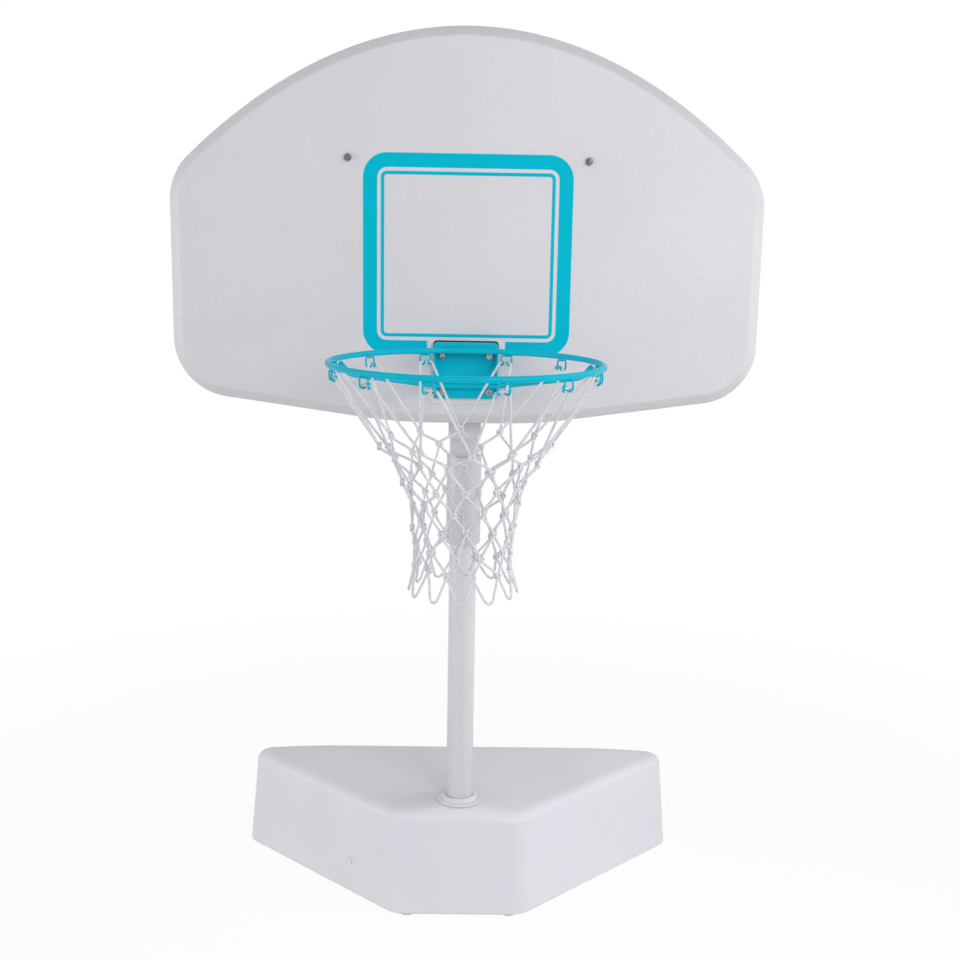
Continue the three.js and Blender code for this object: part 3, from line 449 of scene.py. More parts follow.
def taken(made: bpy.types.Object, *others: bpy.types.Object) -> BMesh:
    """Takes an object's finished shape and removes the scratch objects.

    Args:
        made: The object, a mesh or a curve.
        others: Further objects that are removed with it.

    Returns:
        Its shape, modifiers and bevel included.
    """
    mesh = bpy.data.meshes.new_from_object(made.evaluated_get(bpy.context.evaluated_depsgraph_get()))
    shape = bmesh.new()
    shape.from_mesh(mesh)
    bpy.data.meshes.remove(mesh)
    for scratch in (made, *others):
        data = scratch.data
        bpy.data.objects.remove(scratch)
        (bpy.data.curves if isinstance(data, bpy.types.Curve) else bpy.data.meshes).remove(data)
    return shape


@dataclass
class Bench:
    """Turns finished bmeshes into pieces and dresses the CAD nodes."""

    nodes: dict[str, bpy.types.Object]
    materials: dict[str, bpy.types.Material] = field(default_factory=dict)
    flat_angle: float = 0.5
    edge_angle: float = 32.0
    crease_angle: float = 34.0

    def material(self, finish: Finish) -> bpy.types.Material:
        """Makes a finish's material when it is first asked for.

        Args:
            finish: The finish.

        Returns:
            Its material, the same one each time.
        """
        if finish.name not in self.materials:
            self.materials[finish.name] = finish.make()
        return self.materials[finish.name]

    def piece(
        self,
        shape: BMesh,
        name: str,
        body: Body,
        slot: Slot,
        replaces: Sequence[str] = (),
        crease: float = 35.0,
        finish: Finish | None = None,
    ) -> bpy.types.Object:
        """Makes an object from a bmesh and hangs it on its body.

        Args:
            shape: The finished shape, in the shared frame. It is freed.
            name: The piece's name.
            body: The body that it moves with.
            slot: The record's slot that it takes its finish from.
            replaces: CAD nodes that it stands for.
            crease: Angle in degrees past which an edge stays sharp.
            finish: A finish of the piece's own, in place of its slot's.

        Returns:
            The piece.
        """
        for face in shape.faces:
            face.smooth = True
        limit = math.radians(crease)
        for edge in shape.edges:
            edge.smooth = len(edge.link_faces) == 2 and edge.calc_face_angle(0.0) < limit
        made = placed(name, meshed(shape, name))
        made.data.materials.append(self.material(finish or FINISHES[slot]))
        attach(made, body.value)
        if replaces:
            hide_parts(*replaces)
        LOG.info("piece %s: %d faces on %s", name, len(made.data.polygons), body.value)
        return made

    def keep(self, names: Iterable[str], finish: Finish, soften: float = 0.0005, steps: int = 2) -> None:
        """Dresses CAD nodes that stay: merged, rounded edges, smooth faces and a finish.

        Args:
            names: The nodes.
            finish: The finish that they get.
            soften: Width of the rounded edges.
            steps: Segments across a rounded edge.
        """
        for name in names:
            node = self.nodes[name]
            node.data.materials.clear()
            node.data.materials.append(self.material(finish))
            node.data.polygons.foreach_set("use_smooth", [True] * len(node.data.polygons))
            modified(node, "merged", "WELD", merge_threshold=SEAM)
            modified(
                node, "flats", "DECIMATE",
                decimate_type="DISSOLVE", angle_limit=math.radians(self.flat_angle),
            )
            modified(
                node, "rounded_edges", "BEVEL",
                width=soften, segments=steps, limit_method="ANGLE",
                angle_limit=math.radians(self.edge_angle), use_clamp_overlap=True, harden_normals=False,
            )
            modified(node, "creases", "EDGE_SPLIT", split_angle=math.radians(self.crease_angle))
            LOG.info("kept %s", name)


# Shapes


def everything(shape: BMesh) -> list[Element]:
    """All corners, edges and faces of a shape."""
    return shape.verts[:] + shape.edges[:] + shape.faces[:]


def soften_edges(shape: BMesh, edges: Iterable[BMEdge], reach: float, steps: int) -> None:
    """Rounds edges of a shape; reach is how far along its faces each round starts."""
    bmesh.ops.bevel(
        shape, geom=list(edges), offset=reach, offset_type="OFFSET", segments=steps,
        profile=0.5, affect="EDGES", material=-1,
    )


def round_corners(shape: BMesh, verts: Iterable[BMVert], reach: float, steps: int) -> None:
    """Rounds corners of a flat face; reach is how far along its sides each round starts."""
    bmesh.ops.bevel(
        shape, geom=list(verts), offset=reach, offset_type="OFFSET", segments=steps,
        profile=0.5, affect="VERTICES", material=-1,
    )


def flat_face(points: Flat, y: float) -> BMesh:
    """Makes one face across Y that looks towards -Y.

    Args:
        points: Its corners as x and z.
        y: Its place along Y.

    Returns:
        The face's bmesh.
    """
    shape = bmesh.new()
    face = shape.faces.new([shape.verts.new((x, y, z)) for x, z in points])
    face.normal_update()
    if face.normal.y > 0:
        face.normal_flip()
    return shape


def largest(shape: BMesh) -> BMFace:
    """The largest face of a shape."""
    return max(shape.faces, key=lambda face: face.calc_area())


def thicken(shape: BMesh, depth: float) -> BMFace:
    """Gives a flat shape a thickness along Y.

    Args:
        shape: The flat shape.
        depth: How far along Y its new side lies.

    Returns:
        The new side's first face.
    """
    made = bmesh.ops.extrude_face_region(shape, geom=shape.faces[:])["geom"]
    bmesh.ops.translate(shape, verts=[v for v in made if isinstance(v, BMVert)], vec=(0, depth, 0))
    bmesh.ops.recalc_face_normals(shape, faces=shape.faces)
    return next(f for f in made if isinstance(f, BMFace))


def joined(shapes: Iterable[BMesh]) -> BMesh:
    """Puts several bmeshes in one.

    Args:
        shapes: The bmeshes. They are freed.

    Returns:
        All of them as one bmesh.
    """
    whole = bmesh.new()
    for shape in shapes:
        part = meshed(shape, "part")
        whole.from_mesh(part)
        bpy.data.meshes.remove(part)
    return whole


def combined(shape: BMesh, tool: BMesh, way: Join) -> BMesh:
    """Adds a tool to a closed shape or cuts it out.

    Args:
        shape: The closed shape. It is freed.
        tool: The tool, one or more closed shapes. It is freed.
        way: Whether the tool is added or cut out.

    Returns:
        The combined shape.
    """
    body, cutter = (placed("scratch", meshed(part, "scratch")) for part in (shape, tool))
    modified(
        body, "change", "BOOLEAN",
        operation=way.value, solver="EXACT", use_self=way is Join.CUT, object=cutter,
    )
    return taken(body, cutter)


def rod(centre: Vector, axis: Vector, radius: float, length: float, sides: int = 48) -> BMesh:
    """Makes a plain round rod.

    Args:
        centre: The middle of its first end.
        axis: The way that it runs.
        radius: Its radius.
        length: Its length.
        sides: Faces round it.

    Returns:
        The rod.
    """
    shape = bmesh.new()
    bmesh.ops.create_cone(shape, cap_ends=True, segments=sides, radius1=radius, radius2=radius, depth=length)
    turn = UP.rotation_difference(axis.normalized()).to_matrix()
    bmesh.ops.translate(shape, verts=shape.verts, vec=(0, 0, length / 2))
    bmesh.ops.rotate(shape, verts=shape.verts, matrix=turn)
    bmesh.ops.translate(shape, verts=shape.verts, vec=centre)
    return shape


def arc_bend(corners: Sequence[Vector], bend: float, steps: int = 8) -> Path:
    """Runs straight between corners with a soft bend at each.

    Args:
        corners: The path's corners, ends included.
        bend: How far before and after each inner corner its bend reaches.
        steps: Points in each bend.

    Returns:
        The path's points.
    """
    path = [corners[0].copy()]
    for before, corner, after in zip(corners, corners[1:], corners[2:]):
        near = corner + (before - corner).normalized() * bend
        far = corner + (after - corner).normalized() * bend
        path.extend(interpolate_bezier(near, near.lerp(corner, 0.6), far.lerp(corner, 0.6), far, steps))
    path.append(corners[-1].copy())
    return path


def spread_points(path: Sequence[Vector], pitch: float) -> Path:
    """Places points evenly along a path.

    Args:
        path: The path's own points.
        pitch: The wanted distance between points.

    Returns:
        Evenly spaced points along the same path.
    """
    lengths = [0.0]
    for here, there in zip(path, path[1:]):
        lengths.append(lengths[-1] + (there - here).length)
    count = max(2, round(lengths[-1] / pitch))
    spread, k = [], 0
    for i in range(count + 1):
        wanted = lengths[-1] * i / count
        while k + 2 < len(lengths) and lengths[k + 1] < wanted:
            k += 1
        run = lengths[k + 1] - lengths[k]
        spread.append(path[k].lerp(path[k + 1], (wanted - lengths[k]) / run if run else 0.0))
    return spread


@dataclass(frozen=True)
class Wire:
    """Round or stranded wire, swept along paths."""

    radius: float
    sides: int = 12
    strands: int = 0
    lay: float = 0.011
    strand_depth: float = 0.32
    merge: float = 0.000001
    """Swept points that are nearer than this are merged."""

    def section(self) -> bpy.types.Object:
        """Draws the cross section, with a lobe for each strand.

        Returns:
            The section as a flat curve.
        """
        curve = bpy.data.curves.new("wire_section", "CURVE")
        curve.dimensions = "2D"
        spline = curve.splines.new("POLY")
        spline.points.add(self.sides - 1)
        for i, point in enumerate(spline.points):
            angle = 2 * math.pi * i / self.sides
            lobe = abs(math.cos(self.strands * angle / 2))
            reach = self.radius * (1 - self.strand_depth * (1 - lobe))
            point.co = (reach * math.cos(angle), reach * math.sin(angle), 0.0, 1.0)
        spline.use_cyclic_u = True
        return placed("wire_section", curve)

    def along(self, paths: Iterable[Sequence[Vector]], closed: bool = False) -> BMesh:
        """Sweeps the wire along paths.

        Args:
            paths: Points of each path.
            closed: Whether the paths run round to their starts.

        Returns:
            All the swept wires as one bmesh.
        """
        section = self.section()
        curve = bpy.data.curves.new("wire", "CURVE")
        curve.dimensions = "3D"
        curve.bevel_mode = "OBJECT"
        curve.bevel_object = section
        curve.use_fill_caps = True
        for path in paths:
            spline = curve.splines.new("POLY")
            spline.points.add(len(path) - 1)
            run = 0.0
            for i, (point, place) in enumerate(zip(spline.points, path)):
                run += (place - path[i - 1]).length if i else 0.0
                point.co = (*place, 1.0)
                point.tilt = 2 * math.pi * run / self.lay if self.strands else 0.0
            spline.use_cyclic_u = closed
        shape = taken(placed("wire", curve), section)
        bmesh.ops.remove_doubles(shape, verts=shape.verts, dist=self.merge)
        bmesh.ops.recalc_face_normals(shape, faces=shape.faces)
        return shape


# Sub-assemblies


@dataclass
class Tank:
    """Hollow ballast tank with soft corners and a low hip behind the pole."""

    height: float = 0.229
    floor_gap: float = 0.0036
    foot_round: float = 0.006
    front: float = -0.082
    back: float = 0.312
    nose: float = 0.134
    side: float = 0.484
    slant: float = math.radians(43.0)
    draft: float = math.radians(5.0)
    edge_radius: float = 0.029
    front_corner: float = 0.062
    side_corner: float = 0.0275
    hip_rise: float = 0.005
    hip_half: float = 0.3
    hip_front: float = 0.062
    hip_slope: float = 0.5
    hip_start: float = 0.12
    hip_overrun: float = 0.012
    hip_fade: float = 0.02
    fall: float = 0.008
    fall_reach: float = 0.12
    collar_clear: float = 0.055
    collar_fade: float = 0.05
    socket: float = 0.028
    socket_floor: float = 0.02
    boss_radius: float = 0.034
    boss_reach: float = 0.012
    boss_round: float = 0.004
    filler_x: float = 0.19
    filler_z: float = 0.142
    well_radius: float = 0.0196
    well_depth: float = 0.0235
    overrun: float = 0.01
    drain_z: float = 0.073
    drain_share: float = 0.295
    drain_radius: float = 0.0053
    drain_depth: float = 0.0125
    drain_bore: float = 0.03
    grid: float = 0.03
    match: float = 0.002
    """How near a wall's corner an edge lies that belongs to it."""
    edge_turn: float = 0.5
    """An edge of the deck or the floor turns by more than this, in radians."""
    deck_share: float = 0.999
    """Share of the deck's rounding above which a point belongs to the deck."""
    corner_steps: int = 10
    deck_steps: int = 8
    foot_steps: int = 3
    boss_steps: int = 4
    boss_sides: int = 64
    drain_sides: int = 32

    def plan(self, inward: float) -> Flat:
        """Finds the corners of the outline in plan.

        Args:
            inward: How far the outline has moved in.

        Returns:
            The corners as x and y, from the pole.
        """
        nose = self.nose - inward * math.tan(self.slant / 2)
        side = self.side - inward
        front = self.front + inward
        shoulder = front + (side - nose) * math.tan(self.slant)
        right = [(nose, front), (side, shoulder), (side, self.back - inward)]
        return right + [(-x, y) for x, y in reversed(right)]

    def lean(self, level: float) -> float:
        """How far the walls have come in at a level."""
        return (level - self.floor_gap - self.foot_round) * math.tan(self.draft)

    def boss_face(self) -> float:
        """Where the filler's boss ends behind the pole."""
        return self.back - self.lean(self.filler_z) + self.boss_reach

    def shell(self) -> BMesh:
        """Makes the walls and the deck with their rounded edges.

        Returns:
            The closed shape.
        """
        shape = bmesh.new()
        ends = []
        for level in (self.floor_gap, self.height):
            corners = [shape.verts.new((x, y + POLE_Y, level)) for x, y in self.plan(self.lean(level))]
            ends.append(shape.faces.new(corners))
        ends[0].normal_flip()
        bmesh.ops.bridge_loops(shape, edges=[e for f in ends for e in f.edges])
        reaches = (
            self.front_corner * math.tan(self.slant / 2),
            self.side_corner * math.tan((math.pi / 2 - self.slant) / 2),
            self.side_corner,
        )
        for corner, reach in enumerate(reaches):
            upright = [e for e in shape.edges if self._stands_at(e, corner)]
            soften_edges(shape, upright, reach, self.corner_steps)
        deck_reach = self.edge_radius / math.tan((math.pi / 2 + self.draft) / 2)
        soften_edges(shape, self._rim_edges(shape, self.height), deck_reach, self.deck_steps)
        soften_edges(shape, self._rim_edges(shape, self.floor_gap), self.foot_round, self.foot_steps)
        return shape

    def _stands_at(self, edge: BMEdge, corner: int) -> bool:
        """Tells whether an edge is the upright one at a corner.

        Args:
            edge: The edge.
            corner: The number of the corner on the plan's right side.

        Returns:
            Whether it stands there or at the mirrored corner.
        """
        low, high = sorted((v.co for v in edge.verts), key=lambda co: co.z)
        x, y = self.plan(self.lean(low.z))[corner]
        upright = high.z - low.z > self.height / 2
        return upright and abs(abs(low.x) - x) < self.match and abs(low.y - POLE_Y - y) < self.match

    def _rim_edges(self, shape: BMesh, level: float) -> list[BMEdge]:
        """The edges all round the deck or the floor."""
        flat = [e for e in shape.edges if all(abs(v.co.z - level) < SNAP for v in e.verts)]
        return [e for e in flat if e.calc_face_angle(0.0) > self.edge_turn]

    def shape_deck(self, shape: BMesh) -> None:
        """Cuts the shape into a grid, sinks the deck's edges and lifts the low hip.

        Args:
            shape: The closed tank.
        """
        for axis, reach in ((RIGHT, self.side), (REAR, self.back)):
            for i in range(1, int(reach * 2 / self.grid)):
                bmesh.ops.bisect_plane(
                    shape, geom=everything(shape), plane_no=axis,
                    plane_co=axis * (-reach + i * self.grid) + Vector((0, POLE_Y, 0)),
                )
        for vert in shape.verts:
            x, y = vert.co.x, vert.co.y - POLE_Y
            share = (vert.co.z - self.height + self.edge_radius) / self.edge_radius
            if share > 0:
                vert.co.z -= self._sunk(x, y) * share
            if share > self.deck_share:
                vert.co.z += self._hip(x, y)

    def _sunk(self, x: float, y: float) -> float:
        """Finds how far the deck has sunk towards its front and slanting edges.

        Args:
            x: Place to the right of the pole.
            y: Place behind the pole.

        Returns:
            How far it has sunk.
        """
        nose, front = self.plan(self.lean(self.height) + self.edge_radius)[0]
        slanting = (y - front) * math.cos(self.slant) - (abs(x) - nose) * math.sin(self.slant)
        reach = max(0.0, min(y - front, slanting))
        share = max(0.0, 1 - reach / self.fall_reach)
        clear = max(0.0, min(1.0, (math.hypot(x, y) - self.collar_clear) / self.collar_fade))
        return self.fall * share * share * clear

    def _hip(self, x: float, y: float) -> float:
        """Finds the height of the soft hip above the deck.

        Args:
            x: Place to the right of the pole.
            y: Place behind the pole.

        Returns:
            The hip's height there.
        """
        back = self.back - self.lean(self.height) - self.edge_radius
        along = (y - self.hip_front) / (back - self.hip_front)
        if along <= 0 or y > back + self.hip_overrun:
            return 0.0
        inside = along - abs(x) / self.hip_half
        share = max(0.0, min(1.0, inside / self.hip_slope + self.hip_start))
        fade = max(0.0, min(1.0, (back + self.hip_overrun - y) / self.hip_fade))
        return self.hip_rise * share * share * (3 - 2 * share) * fade

    def boss(self) -> BMesh:
        """Makes the round boss on the rear wall for the filler.

        Returns:
            The boss, rounded at its outer end.
        """
        end = POLE_Y + self.boss_face()
        start = Vector((self.filler_x, end - self.boss_radius, self.filler_z))
        shape = rod(start, REAR, self.boss_radius, self.boss_radius, self.boss_sides)
        rim = [e for e in shape.edges if all(v.co.y > end - SNAP for v in e.verts)]
        soften_edges(shape, rim, self.boss_round, self.boss_steps)
        return shape

    def drain_place(self) -> tuple[Vector, Vector]:
        """Finds the drain on the front-left wall.

        Returns:
            Its place and the wall's outward direction.
        """
        inward = self.lean(self.drain_z)
        nose = self.plan(inward)[0][0]
        reach = (self.side - inward - nose) * self.drain_share
        along = self.front + inward + reach * math.tan(self.slant)
        flat = math.cos(self.draft)
        out = (-flat * math.sin(self.slant), -flat * math.cos(self.slant), math.sin(self.draft))
        return Vector((-nose - reach, POLE_Y + along, self.drain_z)), Vector(out)

    def bores(self) -> BMesh:
        """Makes everything that is bored out of the tank.

        Returns:
            The pole's socket, the filler's well and the drain's bore.
        """
        well = Vector((self.filler_x, POLE_Y + self.boss_face() - self.well_depth, self.filler_z))
        place, out = self.drain_place()
        return joined([
            rod(Vector((0, POLE_Y, self.socket_floor)), UP, self.socket, self.height, self.boss_sides),
            rod(well, REAR, self.well_radius, self.well_depth + self.overrun),
            rod(
                place - out * self.drain_depth, out,
                self.drain_radius, self.drain_bore, self.drain_sides,
            ),
        ])

    def build(self, bench: Bench) -> None:
        """Makes the tank and dresses what is fixed to it.

        Args:
            bench: The bench that turns shapes into pieces.
        """
        shape = self.shell()
        self.shape_deck(shape)
        bmesh.ops.recalc_face_normals(shape, faces=shape.faces)
        whole = combined(combined(shape, self.boss(), Join.ADD), self.bores(), Join.CUT)
        tank = bench.piece(whole, "ballast_tank", Body.STAND, Slot.TANK, ["base_tank"], crease=40)
        modified(tank, "even_shading", "WEIGHTED_NORMAL", keep_sharp=True)
        feet = [f"foot_{end}_{side}" for end in ("front", "rear") for side in ("left", "right")]
        bench.keep(feet, PALE_FOOT, 0.0006)
        bench.keep(["drain_plug"], FINISHES[Slot.TANK])
        bench.keep(["filler_cap"], FINISHES[Slot.TANK], 0.0008, 3)
        bench.keep(["filler_washer"], FINISHES[Slot.RUBBER], 0.0004)
        bench.keep(["pole_collar"], FINISHES[Slot.COLLAR], 0.0012, 3)


@dataclass
class Mast:
    """Poles, sleeve, clamp and the welded frame behind the board."""

    def build(self, bench: Bench) -> None:
        """Dresses the mast's nodes.

        Args:
            bench: The bench that turns shapes into pieces.
        """
        corners = [f"{end}_{side}" for end in ("upper", "lower") for side in ("left", "right")]
        steel = ["clamp_screw", "board_nut_left", "board_nut_right", *(f"rim_nut_{c}" for c in corners)]
        steel += [f"mast_{kind}_{end}" for kind in ("bolt", "nut") for end in ("lower", "upper")]
        bench.keep(["lower_pole"], FINISHES[Slot.POLE])
        # The upper pole and the sleeve take the painted-shade copy of the pole's coat.
        bench.keep(["upper_pole"], POLE_PAINTED_SHADE)
        bench.keep(["clamp_sleeve"], POLE_PAINTED_SHADE, 0.0012, 3)
        bench.keep(["lower_pole_plug", "guide_bush", "mast_cap", "clamp_pad"], FINISHES[Slot.DARK_PLASTIC])
        bench.keep(["clamp_knob"], FINISHES[Slot.DARK_PLASTIC], 0.0022, 4)
        bench.keep(["mast_channel", "cross_bar", "rear_bracket"], FINISHES[Slot.FRAME], 0.0009, 3)
        bench.keep([f"rim_bolt_{c}" for c in corners], FINISHES[Slot.STEEL], 0.0012, 3)
        bench.keep(["board_bolt_left", "board_bolt_right"], FINISHES[Slot.DARK_STEEL], 0.0006)
        bench.keep(steel, FINISHES[Slot.STEEL])


@dataclass
class Backboard:
    """Arched board with a bevelled border, a raised pad and a painted target."""

    half: float = 0.56
    face: float = POLE_Y - 0.0875
    back: float = POLE_Y - 0.0535
    bottom: float = 1.0445
    apex: float = 1.7815
    crown_radius: float = 0.595
    crown_steep: float = 0.04
    crown_share: float = 0.9
    crown_steps: int = 48
    flat_half: float = 0.135
    flat_reach: float = 0.06
    side_rise: float = 0.059
    upper_radius: float = 0.1
    lower_radius: float = 0.11
    corner_share: float = 0.92
    corner_steps: int = 14
    flat_steps: int = 6
    border_width: float = 0.0215
    border_depth: float = 0.0185
    border_profile: tuple[tuple[float, float], ...] = (
        (0.0, 0.0), (0.02, 0.1), (0.08, 0.2), (0.18, 0.3), (0.86, 0.94), (0.93, 0.985), (1.0, 1.0),
    )
    """Shares of the border's width and depth, from the board's rim to its face."""
    back_skin: float = 0.0038
    pad_half: float = 0.071
    pad_low: float = 1.084
    pad_high: float = 1.211
    pad_rise: float = 0.003
    pad_sink: float = 0.002
    pad_radius: float = 0.01
    pad_round: float = 0.0016
    pad_corner_steps: int = 8
    pad_round_steps: int = 3
    hole_radius: float = 0.0046
    hole_sides: int = 32
    hole_overrun: float = 0.02
    hole_length: float = 0.12
    bolt_places: tuple[tuple[float, float], ...] = (
        (-0.2245, 1.542), (0.2245, 1.542), (-0.04475, 1.178), (0.04475, 1.178),
        (-0.04475, 1.1084), (0.04475, 1.1084),
    )

    def crown(self, x: float) -> float:
        """Height of the arched top edge at a distance from the middle."""
        share = x / self.half
        return self.apex - x * x / (2 * self.crown_radius) * (1 + self.crown_steep * share * share)

    def outline(self) -> BMesh:
        """Makes the board's flat outline with its rounded corners.

        Returns:
            The outline as one large face.
        """
        lower, upper = self.bottom + self.side_rise, self.crown(self.half)
        reach = self.half * self.crown_share
        arch = [reach * (1 - 2 * i / self.crown_steps) for i in range(self.crown_steps + 1)]
        shape = flat_face([
            (-self.flat_half, self.bottom), (self.flat_half, self.bottom), (self.half, lower),
            (self.half, upper), *((x, self.crown(x)) for x in arch),
            (-self.half, upper), (-self.half, lower),
        ], self.face)
        for z, radius in ((lower, self.lower_radius), (upper, self.upper_radius)):
            for vert in [v for v in shape.verts if abs(abs(v.co.x) - self.half) + abs(v.co.z - z) < SNAP]:
                self._round(shape, vert, radius)
        soft = [v for v in shape.verts if abs(v.co.z - self.bottom) < SNAP]
        round_corners(shape, soft, self.flat_reach, self.flat_steps)
        return shape

    def _round(self, shape: BMesh, vert: BMVert, radius: float) -> None:
        """Rounds one corner.

        Args:
            shape: The flat outline.
            vert: Its corner.
            radius: The wanted radius, less where the corner's sides are too short.
        """
        sides = [e.other_vert(vert).co - vert.co for e in vert.link_edges]
        room = self.corner_share * min(side.length for side in sides)
        reach = min(radius / math.tan(sides[0].angle(sides[1]) / 2), room)
        round_corners(shape, [vert], reach, self.corner_steps)

    def front(self) -> BMesh:
        """Makes the border, the face and the side wall, closed at the back.

        Returns:
            The closed shape.
        """
        shape = self.outline()
        face = largest(shape)
        wall = bmesh.ops.extrude_edge_only(shape, edges=face.edges[:])["geom"]
        rear = self.back - self.back_skin - self.face
        bmesh.ops.translate(shape, verts=[v for v in wall if isinstance(v, BMVert)], vec=(0, rear, 0))
        bmesh.ops.translate(shape, verts=face.verts[:], vec=(0, self.border_depth, 0))
        for outer, inner in zip(self.border_profile, self.border_profile[1:]):
            bmesh.ops.inset_region(
                shape, faces=[face], use_even_offset=True, use_boundary=True,
                thickness=self.border_width * (inner[0] - outer[0]),
                depth=self.border_depth * (inner[1] - outer[1]),
            )
        bmesh.ops.remove_doubles(shape, verts=shape.verts, dist=SEAM)
        bmesh.ops.holes_fill(shape, edges=[e for e in shape.edges if e.is_boundary])
        bmesh.ops.recalc_face_normals(shape, faces=shape.faces)
        return shape

    def pad(self) -> BMesh:
        """Makes the raised flat under the rim's bracket.

        Returns:
            The pad, sunk a little into the face.
        """
        half, low, high = self.pad_half, self.pad_low, self.pad_high
        shape = flat_face([(-half, low), (half, low), (half, high), (-half, high)], self.face + self.pad_sink)
        round_corners(shape, shape.verts[:], self.pad_radius, self.pad_corner_steps)
        top = thicken(shape, -self.pad_rise - self.pad_sink)
        soften_edges(shape, top.edges[:], self.pad_round, self.pad_round_steps)
        return shape

    def drilled(self, shape: BMesh) -> BMesh:
        """Bores the bolts' holes.

        Args:
            shape: The shape. It is freed.

        Returns:
            The shape with its holes.
        """
        start = self.face - self.hole_overrun
        tools = [
            rod(Vector((x, start, z)), REAR, self.hole_radius, self.hole_length, self.hole_sides)
            for x, z in self.bolt_places
        ]
        return combined(shape, joined(tools), Join.CUT)

    def build(self, bench: Bench) -> None:
        """Makes the board's front and its target.

        Args:
            bench: The bench that turns shapes into pieces.
        """
        front, pad = self.drilled(self.front()), self.drilled(self.pad())
        bench.piece(front, "board_front", Body.MAST, Slot.BOARD, ["backboard_shell"], crease=50)
        bench.piece(pad, "bracket_pad", Body.MAST, Slot.BOARD)
        bench.keep(["backboard_back"], FINISHES[Slot.BOARD], 0.0012, 3)
        Target(self.face).build(bench)


@dataclass
class Target:
    """Painted square: a broad band with a thin line inside it."""

    face: float
    half: float = 0.1965
    low: float = 1.1785
    high: float = 1.5525
    band: float = 0.0265
    corner: float = 0.045
    corner_steps: int = 10
    line_gap: float = 0.0068
    line: float = 0.0064
    gap_half: float = 0.0745
    gap_height: float = 0.05
    film: float = 0.00015

    def frame(self, inward: float, width: float) -> BMesh:
        """Makes a frame with rounded corners, as a thin film on the board.

        Args:
            inward: How far it lies inside the target's outline.
            width: How wide its sides are.

        Returns:
            The film.
        """
        half, low, high = self.half - inward, self.low + inward, self.high - inward
        shape = flat_face([(-half, low), (half, low), (half, high), (-half, high)], self.face + self.film)
        round_corners(shape, shape.verts[:], self.corner - inward, self.corner_steps)
        inner = largest(shape)
        bmesh.ops.inset_region(
            shape, faces=[inner], thickness=width, depth=0.0, use_even_offset=True, use_boundary=True
        )
        bmesh.ops.delete(shape, geom=[inner], context="FACES")
        thicken(shape, -2 * self.film)
        return shape

    def build(self, bench: Bench) -> None:
        """Makes the band, open where the pad is, and the line.

        Args:
            bench: The bench that turns shapes into pieces.
        """
        band = self.frame(0.0, self.band)
        for side in (-1, 1):
            bmesh.ops.bisect_plane(
                band, geom=everything(band), plane_co=(side * self.gap_half, 0, 0), plane_no=(1, 0, 0)
            )
        middles = {f: f.calc_center_median() for f in band.faces}
        top = self.low + self.gap_height
        inside = [f for f, place in middles.items() if abs(place.x) < self.gap_half and place.z < top]
        bmesh.ops.delete(band, geom=inside, context="FACES")
        bmesh.ops.holes_fill(band, edges=[e for e in band.edges if e.is_boundary])
        bench.piece(band, "target_band", Body.MAST, Slot.RIM, finish=TARGET_PRINT)
        line = self.frame(self.band + self.line_gap, self.line)
        bench.piece(line, "target_line", Body.MAST, Slot.RIM, finish=TARGET_PRINT)


